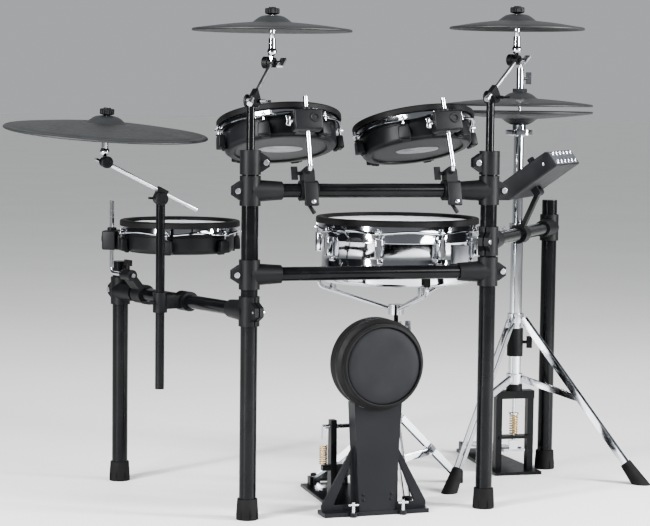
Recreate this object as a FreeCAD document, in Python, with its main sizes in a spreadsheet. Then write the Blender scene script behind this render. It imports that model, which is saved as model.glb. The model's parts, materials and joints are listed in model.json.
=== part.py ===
import FreeCAD, Part
import math
import os
from types import SimpleNamespace

import Sketcher
from FreeCAD import Placement, Rotation, Vector

# An electronic drum kit on a four-legged tube rack, in millimetres.
# +X runs to the right as the audience sees it, +Y towards the drummer, +Z up.
# The origin is the middle of the kick tower's base, on the floor.

doc = FreeCAD.newDocument("ElectronicDrumKit")
sheet = doc.addObject("Spreadsheet::Sheet", "Sizes")
sub_parts = []

X_AXIS = Vector(1, 0, 0)
Y_AXIS = Vector(0, 1, 0)
Z_AXIS = Vector(0, 0, 1)
UPRIGHT = Rotation()
ALONG_X = Rotation(Y_AXIS, 90)
ALONG_Y = Rotation(X_AXIS, -90)


class Size(float):
    """A number from the sheet that keeps its formula, so that features can be bound to it."""

    def __new__(cls, number, formula):
        size = super().__new__(cls, number)
        size.formula = formula
        return size

    def __add__(self, other):
        return Size(float(self) + float(other), "(%s + %s)" % (self.formula, formula(other)))

    def __sub__(self, other):
        return Size(float(self) - float(other), "(%s - %s)" % (self.formula, formula(other)))

    def __mul__(self, other):
        return Size(float(self) * float(other), "(%s * %s)" % (self.formula, formula(other)))

    def __truediv__(self, other):
        return Size(float(self) / float(other), "(%s / %s)" % (self.formula, formula(other)))

    def __neg__(self):
        return Size(-float(self), "(0 - %s)" % self.formula)

    __radd__ = __add__
    __rmul__ = __mul__


def formula(number):
    return number.formula if isinstance(number, Size) else repr(float(number))


def on_sheet(group, table):
    """Give each value of a table its own cell, and return the group's sizes by name."""
    sizes = {}
    for name, number in table.items():
        on_sheet.row += 1
        alias = group + "_" + name
        sheet.set("A%d" % on_sheet.row, alias)
        sheet.set("B%d" % on_sheet.row, repr(float(number)))
        sheet.setAlias("B%d" % on_sheet.row, alias)
        sizes[name] = Size(number, "Sizes." + alias)
    doc.recompute([sheet])
    return SimpleNamespace(**sizes)


on_sheet.row = 0


def bind(item, **sizes):
    for prop, size in sizes.items():
        item.setExpression(prop, formula(size))
    return item


def at(x, y, z, turn=UPRIGHT):
    return Placement(Vector(x, y, z), turn)


def yawed(x, y, z, angle):
    return Placement(Vector(x, y, z), Rotation(Z_AXIS, angle))


def placed(item, place):
    item.Placement = place
    return item


def cylinder(radius, height, place=Placement()):
    item = bind(doc.addObject("Part::Cylinder", "Round"), Radius=radius, Height=height)
    return placed(item, place)


def cone(lower, upper, height, place=Placement()):
    item = bind(doc.addObject("Part::Cone", "Taper"), Radius1=lower, Radius2=upper, Height=height)
    return placed(item, place)


def sphere(radius, place=Placement()):
    return placed(bind(doc.addObject("Part::Sphere", "Ball"), Radius=radius), place)


def box(length, width, height, place=Placement()):
    """A box centred in X and Y on its place, and standing on it."""
    item = bind(doc.addObject("Part::Box", "Block"), Length=length, Width=width, Height=height)
    return placed(item, place * at(-length / 2, -width / 2, 0))


def prism(sides, radius, height, place=Placement()):
    item = bind(doc.addObject("Part::Prism", "Flats"), Circumradius=radius, Height=height)
    item.Polygon = sides
    return placed(item, place)


def fused(items, place=Placement()):
    item = doc.addObject("Part::MultiFuse", "Joined")
    item.Shapes = items
    return placed(item, place)


def cut(base, tools, place=Placement()):
    item = doc.addObject("Part::Cut", "Opened")
    item.Base = base
    item.Tool = tools[0] if len(tools) == 1 else fused(tools)
    return placed(item, place)


def together(items, place=Placement()):
    item = doc.addObject("Part::Compound", "Set")
    item.Links = items
    return placed(item, place)


def rod_between(radius, start, end):
    """A round rod from one point to another; its length follows the two places."""
    span = end.sub(start)
    item = doc.addObject("Part::Cylinder", "Rod")
    bind(item, Radius=radius)
    item.Height = span.Length
    return placed(item, Placement(start, Rotation(Z_AXIS, span)))


def strip_between(width, thickness, start, end, face):
    """A flat bar from one point to another, its broad side turned to the direction given."""
    span = end.sub(start)
    item = doc.addObject("Part::Box", "Strip")
    bind(item, Width=width, Height=thickness)
    item.Length = span.Length
    turn = Rotation(span, face.cross(span), face, "XZY")
    return placed(item, Placement(start, turn) * at(0, -width / 2, -thickness / 2))


def bent_rod(radius, corners, bend):
    """A round rod through the corners given, with a tangent bend at each inner corner."""
    edges = []
    start = corners[0]
    for before, corner, after in zip(corners, corners[1:], corners[2:]):
        inward = before.sub(corner).normalize()
        outward = after.sub(corner).normalize()
        half = (math.pi - inward.getAngle(outward)) / 2
        setback = bend * math.tan(half)
        middle = (inward + outward).normalize() * (bend / math.cos(half) - bend)
        first = corner + inward * setback
        last = corner + outward * setback
        edges.append(Part.LineSegment(start, first).toShape())
        edges.append(Part.Arc(first, corner + middle, last).toShape())
        start = last
    edges.append(Part.LineSegment(start, corners[-1]).toShape())
    spine = doc.addObject("Part::Feature", "Route")
    spine.Shape = Part.Wire(edges)
    section = bind(doc.addObject("Part::Circle", "Section"), Radius=radius)
    section.Placement = Placement(corners[0], Rotation(Z_AXIS, corners[1].sub(corners[0])))
    sweep = doc.addObject("Part::Sweep", "BentRod")
    sweep.Sections = [section]
    sweep.Spine = (spine, ["Edge%d" % (n + 1) for n in range(len(edges))])
    sweep.Solid = True
    sweep.Frenet = False
    return sweep


def sketch_in(body, plane):
    sketch = body.newObject("Sketcher::SketchObject", "Outline")
    face = [item for item in body.Origin.OriginFeatures if item.Role == plane][0]
    sketch.AttachmentSupport = [(face, "")]
    sketch.MapMode = "FlatFace"
    return sketch


def draw_polygon(sketch, points):
    """Draw a closed outline whose corners are bound to the sizes in its points."""
    count = len(points)
    spots = [Rotation(Z_AXIS, 360 * n / count).multVec(X_AXIS) for n in range(count)]
    first = sketch.GeometryCount
    sketch.addGeometry([Part.LineSegment(spots[n], spots[(n + 1) % count]) for n in range(count)], False)
    rules = []
    bound = []
    start = sketch.ConstraintCount
    for n in range(count):
        rules.append(Sketcher.Constraint("Coincident", first + n, 2, first + (n + 1) % count, 1))
    for n, (across, up) in enumerate(points):
        for kind, size, axis in (("DistanceX", across, -2), ("DistanceY", up, -1)):
            if float(size) == 0:
                rules.append(Sketcher.Constraint("PointOnObject", first + n, 1, axis))
            else:
                bound.append((start + len(rules), size))
                rules.append(Sketcher.Constraint(kind, -1, 1, first + n, 1, float(size)))
    sketch.addConstraint(rules)
    for rule, size in bound:
        sketch.setExpression("Constraints[%d]" % rule, formula(size))


def turned(profile, place=Placement()):
    """A body revolved about its own Z axis from (radius, height) corners."""
    body = doc.addObject("PartDesign::Body", "Turned")
    sketch = sketch_in(body, "XZ_Plane")
    draw_polygon(sketch, profile)
    turn = body.newObject("PartDesign::Revolution", "Turn")
    turn.Profile = sketch
    turn.ReferenceAxis = (sketch, ["V_Axis"])
    turn.Angle = 360
    return placed(body, place)


def padded(outline, depth, plane="XY_Plane", place=Placement(), centred=True):
    """A body padded from an outline in one of its own planes."""
    body = doc.addObject("PartDesign::Body", "Plate")
    sketch = sketch_in(body, plane)
    draw_polygon(sketch, outline)
    pad = body.newObject("PartDesign::Pad", "Thickness")
    pad.Profile = sketch
    pad.Midplane = centred
    bind(pad, Length=depth)
    return placed(body, place)


def pocketed(body, outline, plane, depth):
    """Cut an outline through a body, as far to each side of the plane as half the depth."""
    sketch = sketch_in(body, plane)
    draw_polygon(sketch, outline)
    pocket = body.newObject("PartDesign::Pocket", "Opening")
    pocket.Profile = sketch
    pocket.Midplane = True
    bind(pocket, Length=depth)
    return pocket


def repeated(body, feature, count, plane="XY_Plane"):
    """Repeat a feature evenly about the body's own upright axis."""
    pattern = body.newObject("PartDesign::PolarPattern", "Ring")
    pattern.Originals = [feature]
    axis = [item for item in body.Origin.OriginFeatures if item.Role == "Z_Axis"][0]
    pattern.Axis = (axis, [""])
    pattern.Angle = 360
    pattern.Occurrences = int(count)
    body.Tip = pattern
    return pattern


def rounded(body, radius, chosen):
    """Round the edges of a body that the test picks."""
    doc.recompute()
    base = body.Tip
    names = ["Edge%d" % (n + 1) for n, edge in enumerate(base.Shape.Edges) if chosen(edge)]
    fillet = body.newObject("PartDesign::Fillet", "Rounding")
    fillet.Base = (base, names)
    bind(fillet, Radius=radius)
    return body


def sub_part(label, item, place=None):
    item.Label = label
    if place is not None:
        item.Placement = place
    sub_parts.append((label, item))
    return item


# Clearances that the whole kit shares
FITS = {
    "running": 0.35,
    "snug": 0.2,
    "overrun": 2.0,
    "face": 0.3,
}
fit = on_sheet("fit", FITS)

# Axes about which, or along which, the kit's pieces move: name, point and direction
pivots = []


def pivot(name, point, direction):
    pivots.append((name, Vector(point), Vector(direction).normalize()))


# Tube rack: two front uprights joined by two bars, with a swinging wing at each side
RACK = {
    "left_x": -284.0,
    "left_y": -85.0,
    "front_angle": 17.0,
    "left_angle": 125.8,
    "right_angle": 69.7,
    "span_length": 566.0,
    "pole_radius": 19.05,
    "pole_wall": 2.0,
    "bar_radius": 15.9,
    "bar_wall": 2.0,
    "front_top": 800.0,
    "left_top": 540.0,
    "right_top": 690.0,
    "cap_height": 8.0,
    "low_bar": 550.0,
    "high_bar": 736.0,
    "left_bar": 468.0,
    "right_bar": 620.0,
    "foot_height": 47.0,
    "foot_radius": 25.0,
    "foot_neck": 22.6,
    "foot_sole": 6.0,
    "foot_band": 12.0,
    "slot_width": 4.0,
    "slot_depth": 1.6,
    "slot_height": 22.0,
    "slot_count": 8,
    "sleeve_radius": 23.5,
    "sleeve_height": 66.0,
    "socket_reach": 72.0,
    "socket_root": 25.5,
    "socket_lip": 20.5,
    "socket_stop": 26.0,
    "lug_reach": 41.0,
    "lug_width": 24.0,
    "lug_height": 42.0,
    "lug_tip": 19.0,
    "lug_bolt": 32.0,
    "slit": 3.0,
    "bolt_radius": 3.0,
    "bolt_head": 6.5,
    "bolt_head_height": 4.5,
    "collar_lap": 28.0,
    "collar_height": 54.0,
    "mast_radius": 9.5,
}
rack = on_sheet("rack", RACK)

rack_left = yawed(rack.left_x, rack.left_y, 0, rack.front_angle)
rack_right = rack_left * at(rack.span_length, 0, 0)
left_wing = yawed(rack.left_x, rack.left_y, 0, rack.left_angle)
right_wing = yawed(rack_right.Base.x, rack_right.Base.y, 0, rack.right_angle)
TURNED_BACK = Rotation(Z_AXIS, 180)


def tube(radius, wall, length, place):
    inner = radius - wall
    return turned([(inner, 0), (radius, 0), (radius, length), (inner, length)], place)


def capped_tube(radius, wall, length, cap, place):
    inner = radius - wall
    roof = length - cap
    return turned([(inner, 0), (radius, 0), (radius, length), (0, length), (0, roof), (inner, roof)], place)


def foot(place):
    """A flared rubber foot with grip slots, in which an upright stands."""
    seat = rack.pole_radius + fit.snug
    body = turned([
        (0, 0),
        (rack.foot_radius, 0),
        (rack.foot_radius, rack.foot_band),
        (rack.foot_neck, rack.foot_height),
        (seat, rack.foot_height),
        (seat, rack.foot_sole),
        (0, rack.foot_sole),
    ], place)
    half = rack.slot_width / 2
    low = rack.foot_radius - rack.slot_depth
    high = rack.foot_radius + fit.overrun
    slot = sketch_in(body, "XY_Plane")
    draw_polygon(slot, [(low, -half), (high, -half), (high, half), (low, half)])
    groove = body.newObject("PartDesign::Pocket", "Slot")
    groove.Profile = slot
    groove.Reversed = True
    bind(groove, Length=rack.slot_height)
    repeated(body, groove, rack.slot_count)
    return body


def bolt(grip, place):
    """A round-headed clamp bolt; its head stands at the far end of the grip, along +Z."""
    top = grip + rack.bolt_head_height
    return turned([
        (0, 0),
        (rack.bolt_radius, 0),
        (rack.bolt_radius, grip),
        (rack.bolt_head, grip),
        (rack.bolt_head, top),
        (0, top),
    ], place)


def lug_cuts(height):
    """The slit and the bolt hole of a clamp lug that points along -X."""
    slit = box(rack.lug_reach + fit.overrun, rack.slit, height + fit.overrun * 2,
               at(-(rack.lug_reach + fit.overrun) / 2, 0, -height / 2 - fit.overrun))
    hole = cylinder(rack.bolt_radius + fit.snug, rack.lug_width + fit.overrun * 2,
                    at(-rack.lug_bolt, -rack.lug_width / 2 - fit.overrun, 0, ALONG_Y))
    return [slit, hole]


def lug_bolt(place, side):
    """The bolt of a lug, with its head on the side given: -1 for -Y and 1 for +Y."""
    turn = Rotation(X_AXIS, -90 * side)
    return bolt(rack.lug_width, place * at(-rack.lug_bolt, -side * rack.lug_width / 2, 0, turn))


def lug_plate(level):
    """A clamp lug that points along -X and narrows towards its bolt."""
    half = rack.lug_height / 2
    tip = rack.lug_tip / 2
    return padded([
        (0, level - half),
        (0, level + half),
        (-rack.sleeve_radius, level + half),
        (-rack.lug_reach, level + tip),
        (-rack.lug_reach, level - tip),
        (-rack.sleeve_radius, level - half),
    ], rack.lug_width, "XZ_Plane")


def rack_clamp(place):
    """A T clamp: a split sleeve round an upright and a tapering socket for a bar along +X."""
    height = rack.sleeve_height
    casting = fused([
        cylinder(rack.sleeve_radius, height, at(0, 0, -height / 2)),
        cone(rack.socket_root, rack.socket_lip, rack.socket_reach, at(0, 0, 0, ALONG_X)),
        lug_plate(0),
    ])
    upright = cylinder(rack.pole_radius + fit.running, height + fit.overrun * 2,
                       at(0, 0, -height / 2 - fit.overrun))
    socket = cylinder(rack.bar_radius + fit.snug, rack.socket_reach - rack.socket_stop + fit.overrun,
                      at(rack.socket_stop, 0, 0, ALONG_X))
    return cut(casting, [upright, socket] + lug_cuts(height), place)


def mast_collar(place):
    """The collar on top of a front upright that narrows to hold a cymbal mast."""
    seat = rack.pole_radius + fit.snug
    bore = rack.mast_radius + fit.running
    step = rack.collar_lap
    ring = turned([
        (seat, 0),
        (rack.sleeve_radius, 0),
        (rack.sleeve_radius, rack.collar_height),
        (bore, rack.collar_height),
        (bore, step),
        (seat, step),
    ])
    hollow = cylinder(seat, rack.collar_height, at(0, 0, 0))
    ear = cut(lug_plate(rack.collar_height / 2), [hollow])
    cuts = lug_cuts(rack.collar_height)
    for item in cuts:
        item.Placement = at(0, 0, rack.collar_height / 2) * item.Placement
    return cut(fused([ring, ear]), cuts, place)


pole_length = rack.front_top - rack.foot_sole
bar_length = rack.span_length - rack.socket_stop * 2
front_places = (rack_left, rack_right)
bar_heights = (rack.low_bar, rack.high_bar)

sub_part("front_pipes", together(
    [tube(rack.pole_radius, rack.pole_wall, pole_length, place * at(0, 0, rack.foot_sole))
     for place in front_places]
    + [tube(rack.bar_radius, rack.bar_wall, bar_length, rack_left * at(rack.socket_stop, 0, height, ALONG_X))
       for height in bar_heights]))

collar_base = rack.front_top - rack.collar_lap
clamps = []
for height in bar_heights:
    clamps.append(rack_clamp(rack_left * at(0, 0, height)))
    clamps.append(lug_bolt(rack_left * at(0, 0, height), -1))
    clamps.append(rack_clamp(rack_right * at(0, 0, height, TURNED_BACK)))
    clamps.append(lug_bolt(rack_right * at(0, 0, height, TURNED_BACK), 1))
for place, turn, side in ((rack_left, TURNED_BACK, 1), (rack_right, UPRIGHT, -1)):
    clamps.append(mast_collar(place * at(0, 0, collar_base, turn)))
    clamps.append(lug_bolt(place * at(0, 0, collar_base + rack.collar_height / 2, turn), side))
sub_part("rack_clamps", together(clamps))
sub_part("rack_feet", together([foot(place) for place in front_places]))


def wing(name, place, bar_height, pole_top, extra_clamps):
    """A swinging side: a bar clamped to a front upright, and the upright at its far end."""
    far = at(rack.span_length, 0, 0)
    sub_part(name + "_pipes", together([
        capped_tube(rack.pole_radius, rack.pole_wall, pole_top - rack.foot_sole, rack.cap_height,
                    far * at(0, 0, rack.foot_sole)),
        tube(rack.bar_radius, rack.bar_wall, bar_length, at(rack.socket_stop, 0, bar_height, ALONG_X)),
    ]), place)
    sub_part(name + "_clamps", together([
        rack_clamp(at(0, 0, bar_height)),
        lug_bolt(at(0, 0, bar_height), -1),
        rack_clamp(far * at(0, 0, bar_height, TURNED_BACK)),
        lug_bolt(far * at(0, 0, bar_height, TURNED_BACK), -1),
    ] + extra_clamps), place)
    sub_part(name + "_foot", foot(place * far))
    pivot(name + "_swing", place.Base, Z_AXIS)


# Clamps that carry the drum rods and the ride mast on the bars
CLAMPS = {
    "grip_wall": 7.0,
    "width": 40.0,
    "web": 15.0,
    "rod_radius": 5.3,
    "eye_wall": 8.0,
    "eye_lift": 40.0,
    "eye_length": 32.0,
    "floor_lift": 47.0,
    "floor_out": 39.5,
    "floor_inset": 104.0,
    "mast_radius": 10.5,
    "mast_along": 265.0,
    "mast_out": 70.0,
    "mast_eye_wall": 6.0,
    "mast_eye_height": 46.0,
    "arm_width": 24.0,
    "wing_span": 30.0,
    "wing_height": 14.0,
    "wing_thickness": 5.0,
    "wing_stem": 14.0,
    "wing_stem_radius": 4.0,
}
grips = on_sheet("clamp", CLAMPS)


def wing_screw(place):
    """A wing screw whose stem leaves its seat along +Z."""
    return fused([
        cylinder(grips.wing_stem_radius, grips.wing_stem),
        box(grips.wing_span, grips.wing_thickness, grips.wing_height,
            at(0, 0, grips.wing_stem - grips.wing_thickness)),
    ], place)


def rod_clamp(aside, above, place):
    """A clamp round a bar along X, with an eye for a drum rod that runs beside the bar."""
    offset = Vector(0, aside, above)
    grip_radius = rack.bar_radius + grips.grip_wall
    eye_radius = grips.rod_radius + grips.eye_wall
    casting = fused([
        cylinder(grip_radius, grips.width, at(-grips.width / 2, 0, 0, ALONG_X)),
        cylinder(eye_radius, grips.width, at(-grips.width / 2, aside, above, ALONG_X)),
        box(grips.width, grips.web, offset.Length, Placement(Vector(), Rotation(Z_AXIS, offset))),
    ])
    length = grips.width + fit.overrun * 2
    bar = cylinder(rack.bar_radius + fit.snug, length, at(-length / 2, 0, 0, ALONG_X))
    rod = cylinder(grips.rod_radius + fit.running, length, at(-length / 2, aside, above, ALONG_X))
    return cut(casting, [bar, rod], place)


def mast_clamp(place):
    """A clamp round a bar along X, with an arm to an upright eye for the ride mast."""
    grip_radius = rack.bar_radius + grips.grip_wall
    eye_radius = grips.mast_radius + grips.mast_eye_wall
    tall = grips.mast_eye_height
    casting = fused([
        cylinder(grip_radius, grips.width, at(-grips.width / 2, 0, 0, ALONG_X)),
        cylinder(eye_radius, tall, at(0, grips.mast_out, -tall / 2)),
        box(grips.arm_width, grips.mast_out, grips.web * 2, at(0, grips.mast_out / 2, -grips.web)),
    ])
    length = grips.width + fit.overrun * 2
    bar = cylinder(rack.bar_radius + fit.snug, length, at(-length / 2, 0, 0, ALONG_X))
    mast = cylinder(grips.mast_radius + fit.running, tall + fit.overrun * 2,
                    at(0, grips.mast_out, -tall / 2 - fit.overrun))
    return cut(casting, [bar, mast], place)


eye_top = grips.rod_radius + grips.eye_wall
floor_clamp = at(rack.span_length - grips.floor_inset, 0, rack.left_bar)
ride_clamp = at(grips.mast_along, 0, rack.left_bar)
ride_eye = grips.mast_radius + grips.mast_eye_wall
wing("left_wing", left_wing, rack.left_bar, rack.left_top, [
    rod_clamp(grips.floor_out, grips.floor_lift, floor_clamp),
    wing_screw(floor_clamp * at(0, grips.floor_out, grips.floor_lift + eye_top)),
    mast_clamp(ride_clamp),
    wing_screw(ride_clamp * at(0, grips.mast_out + ride_eye, 0, ALONG_Y)),
])

# Cymbal pads, each on a sliding mast, a hinged boom and a tilter with a felt seat
CYMBALS = {
    "drum_radius": 13.0,
    "drum_width": 12.0,
    "pin_radius": 3.0,
    "boom_radius": 4.8,
    "boom_lift": 17.0,
    "holder_length": 26.0,
    "holder_height": 25.0,
    "knurl_radius": 6.2,
    "fork_radius": 11.0,
    "fork_width": 16.0,
    "fork_web": 4.0,
    "tongue_radius": 6.3,
    "tongue_width": 5.4,
    "stem_width": 9.0,
    "knuckle_radius": 11.0,
    "knuckle_rise": 24.0,
    "rod_radius": 4.0,
    "seat_rise": 99.0,
    "sleeve_radius": 8.0,
    "sleeve_length": 30.0,
    "dome": 12.0,
    "felt_height": 7.0,
    "felt_relief": 3.4,
    "nut_radius": 11.5,
    "nut_height": 12.0,
    "hole_radius": 8.0,
    "hub": 6.0,
    "crown_radius": 20.0,
    "bell_radius": 43.0,
    "bell_height": 15.0,
    "edge_band": 14.0,
    "edge_fall": 2.5,
    "edge_side": 5.0,
    "bow_slack": 1.5,
    "crash_reach": 122.0,
    "crash_tail": 34.0,
    "crash_angle": 36.4,
    "crash_bow": 13.0,
    "left_rise": 134.0,
    "left_yaw_angle": 69.0,
    "left_radius": 180.0,
    "right_rise": 149.0,
    "right_yaw_angle": 53.0,
    "right_radius": 156.0,
    "crash_plunge": 220.0,
    "ride_hinge": 707.0,
    "ride_yaw_angle": 205.0,
    "ride_angle": 26.5,
    "ride_reach": 155.0,
    "ride_tail": 96.0,
    "ride_knurl": 30.0,
    "ride_radius": 232.0,
    "ride_bow": 17.0,
    "ride_foot": 267.0,
    "ride_nod_angle": 3.6,
    "ride_roll_angle": 3.5,
}
cym = on_sheet("cymbal", CYMBALS)


def cymbal_pad(radius, bow):
    """A rubber cymbal pad; its hub's underside is at the local origin."""
    shoulder = cym.hub - cym.bell_height
    brim = shoulder - bow
    rim = radius - cym.edge_band
    edge = brim - cym.edge_fall
    return turned([
        (cym.hole_radius, 0),
        (cym.hole_radius, cym.hub),
        (cym.crown_radius, cym.hub),
        (cym.bell_radius, shoulder),
        (rim, brim),
        (radius, edge),
        (radius, edge - cym.edge_side),
        (rim, brim - cym.hub - cym.bow_slack),
        (cym.bell_radius, shoulder - cym.hub),
        (cym.crown_radius, 0),
    ])


def cymbal_arm(name, mast_top, boom_yaw, boom_angle, reach, tail, mast_radius, mast_length, pad, lean):
    """One cymbal's mast, boom, tilter and pad, from the hinge at the top of its mast."""
    gap = fit.face / 2
    middle = gap + cym.drum_width / 2
    hinge = mast_top * Placement(Vector(), Rotation(Z_AXIS, boom_yaw)) * at(0, -middle, 0)
    turn = Rotation(Y_AXIS, -boom_angle)

    # Mast with the fixed drum of the boom hinge, its bolt and wing
    outside = gap + cym.drum_width + fit.face
    swept = cylinder(cym.drum_radius + fit.face, outside + gap,
                     at(0, -outside, 0, ALONG_Y))
    mast = fused([
        cut(cylinder(mast_radius, mast_length, at(0, middle, -mast_length)), [swept]),
        cylinder(cym.drum_radius, cym.drum_width, at(0, gap, 0, ALONG_Y)),
        cylinder(cym.pin_radius, outside + gap + fit.overrun, at(0, -outside, 0, ALONG_Y)),
        wing_screw(at(0, -outside, 0, Rotation(X_AXIS, 90))),
    ])
    sub_part(name + "_mast", mast, hinge)
    pivot(name + "_height", hinge.multVec(Vector(0, middle, 0)), Z_AXIS)
    pivot(name + "_boom", hinge.Base, hinge.Rotation.multVec(Y_AXIS))

    # Boom with the moving drum, its rod and the fork at the far end
    line = at(0, -middle, cym.boom_lift)
    slot = cym.tongue_width + fit.face * 2
    solid = fused([
        cylinder(cym.drum_radius, cym.drum_width, at(0, -gap - cym.drum_width, 0, ALONG_Y)),
        box(cym.holder_length, cym.drum_width, cym.holder_height, at(0, -middle, 0)),
        cylinder(cym.boom_radius, reach + tail, line * at(-tail, 0, 0, ALONG_X)),
        cylinder(cym.knurl_radius, cym.ride_knurl * tail / cym.ride_tail, line * at(-tail, 0, 0, ALONG_X)),
        cylinder(cym.fork_radius, cym.fork_width, line * at(reach, -cym.fork_width / 2, 0, ALONG_Y)),
    ])
    opened = cut(solid, [
        cylinder(cym.pin_radius + fit.running, cym.drum_width + fit.overrun * 2,
                 at(0, -gap - cym.drum_width - fit.overrun, 0, ALONG_Y)),
        box(cym.fork_radius * 2 - cym.fork_web + fit.overrun, slot, cym.fork_radius * 2 + fit.overrun * 2,
            line * at(reach + (cym.fork_web + fit.overrun) / 2, 0, -cym.fork_radius - fit.overrun)),
    ])
    screw_seat = line * at(reach, -cym.fork_width / 2, 0, Rotation(X_AXIS, 90))
    boom = fused([
        opened,
        cylinder(cym.pin_radius, cym.fork_width, line * at(reach, -cym.fork_width / 2, 0, ALONG_Y)),
        wing_screw(screw_seat),
    ])
    boom_place = hinge * Placement(Vector(), turn)
    sub_part(name + "_boom", boom, boom_place)
    fork = Placement((boom_place * line * at(reach, 0, 0)).Base, hinge.Rotation)
    pivot(name + "_tilt", fork.Base, fork.Rotation.multVec(Y_AXIS))

    # Tilter with its rod, the domed felt under the pad, and the felt and nut on top
    knuckle = at(0, 0, cym.knuckle_rise)
    rod_turn = fork.Rotation.inverted() * lean
    axis = Placement(knuckle.Base, rod_turn)
    seat = cym.seat_rise - cym.knuckle_rise
    rod_top = seat + cym.hub + cym.felt_height + cym.nut_height
    casting = cut(fused([
        cylinder(cym.tongue_radius, cym.tongue_width, at(0, -cym.tongue_width / 2, 0, ALONG_Y)),
        box(cym.stem_width, cym.tongue_width, cym.knuckle_rise),
        sphere(cym.knuckle_radius, knuckle),
        cylinder(cym.sleeve_radius, cym.sleeve_length, axis),
        cylinder(cym.rod_radius, rod_top, axis),
    ]), [cylinder(cym.pin_radius + fit.running, cym.tongue_width + fit.overrun * 2,
                  at(0, -cym.tongue_width / 2 - fit.overrun, 0, ALONG_Y))])
    dome_radius = cym.dome - fit.face
    dome_sink = math.sqrt(cym.dome ** 2 - cym.hole_radius ** 2)
    dome_centre = axis * at(0, 0, seat - dome_sink)
    rod_hole = cylinder(cym.rod_radius + fit.snug, cym.dome * 2 + fit.overrun * 2,
                        dome_centre * at(0, 0, -cym.dome - fit.overrun))
    felt = cut(fused([
        sphere(dome_radius, dome_centre),
        cylinder(dome_radius, cym.dome, dome_centre * at(0, 0, -cym.dome)),
    ]), [rod_hole])
    bore = cym.rod_radius + fit.snug
    nut_base = cym.felt_height - fit.face
    nut = turned([
        (bore, 0),
        (cym.nut_radius, cym.felt_relief),
        (cym.nut_radius, nut_base + cym.nut_height / 2),
        (cym.sleeve_radius, nut_base + cym.nut_height),
        (bore, nut_base + cym.nut_height),
    ], axis * at(0, 0, seat + cym.hub + fit.face))
    sub_part(name + "_tilter", together([casting, felt, nut]), fork)

    # Pad, free to sway on the domed felt
    sub_part(name + "_cymbal", pad, fork * axis * at(0, 0, seat))
    pivot(name + "_sway", (fork * dome_centre).Base, (fork * axis).Rotation.multVec(X_AXIS))


LEVEL = Rotation()
cymbal_arm("crash_left",
           rack_left * at(0, 0, rack.front_top + cym.left_rise, rack_left.Rotation.inverted()),
           cym.left_yaw_angle, cym.crash_angle, cym.crash_reach, cym.crash_tail, rack.mast_radius,
           cym.crash_plunge, cymbal_pad(cym.left_radius, cym.crash_bow), LEVEL)
cymbal_arm("crash_right",
           rack_right * at(0, 0, rack.front_top + cym.right_rise, rack_right.Rotation.inverted()),
           cym.right_yaw_angle, cym.crash_angle, cym.crash_reach, cym.crash_tail, rack.mast_radius,
           cym.crash_plunge, cymbal_pad(cym.right_radius, cym.crash_bow), LEVEL)
ride_mast = (left_wing * at(grips.mast_along, grips.mast_out, 0)).Base
ride_lean = Rotation(Y_AXIS, cym.ride_roll_angle) * Rotation(X_AXIS, cym.ride_nod_angle)
cymbal_arm("ride", at(ride_mast.x, ride_mast.y, cym.ride_hinge), cym.ride_yaw_angle, cym.ride_angle,
           cym.ride_reach, cym.ride_tail, grips.mast_radius, cym.ride_hinge - cym.ride_foot,
           cymbal_pad(cym.ride_radius, cym.ride_bow), ride_lean)

# Drum pads: a cup-shaped shell, a mesh head with its rubber rim, and a flanged hoop with bolts
DRUMS = {
    "wall": 4.0,
    "floor_inset": 12.0,
    "floor_rise": 5.0,
    "chamfer": 10.0,
    "mesh": 2.0,
    "skirt": 5.0,
    "skirt_height": 12.0,
    "hoop_wall": 4.6,
    "hoop_height": 24.0,
    "rim_wall": 4.5,
    "rim_rise": 9.0,
    "rim_round": 3.5,
    "rim_lip": 7.0,
    "rim_drop": 10.0,
    "ear_reach": 12.0,
    "ear_width": 16.0,
    "ear_height": 6.0,
    "bolt_radius": 3.0,
    "bolt_head": 5.0,
    "bolt_head_height": 7.0,
    "bolt_inset": 6.5,
    "snare_lug_width": 18.0,
    "tom_lug_width": 30.0,
    "lug_overhang": 3.0,
    "lug_gap": 10.0,
    "tom_radius": 130.0,
    "tom_depth": 68.0,
    "tom_lug_height": 30.0,
    "tom_bolt_count": 6,
    "block_width": 66.0,
    "block_depth": 34.0,
    "block_height": 46.0,
    "block_drop": 42.0,
    "neck_width": 46.0,
    "reach": 164.0,
    "aside": -18.0,
    "rod_bend": 14.0,
    "tom_tilt_angle": 16.5,
    "left_along": 134.0,
    "right_inset": 93.0,
    "right_roll_angle": 4.0,
    "rod_front": 30.0,
    "rod_back": 24.0,
    "rod_top": 210.0,
    "tom_rise": 196.0,
    "floor_rod_inset": 26.0,
    "floor_rod_top": 690.0,
    "floor_rod_length": 104.0,
    "floor_rise_height": 637.0,
    "floor_yaw_angle": 135.2,
    "snare_x": 55.0,
    "snare_clear": 65.0,
    "snare_leg_radius": 205.0,
    "snare_radius": 180.0,
    "snare_depth": 146.0,
    "snare_wall": 1.8,
    "snare_top": 654.0,
    "snare_lug_height": 46.0,
    "snare_bolt_count": 8,
    "snare_turn_angle": 8.0,
}
drum = on_sheet("drum", DRUMS)
HALF_STEP = 0.5


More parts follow.
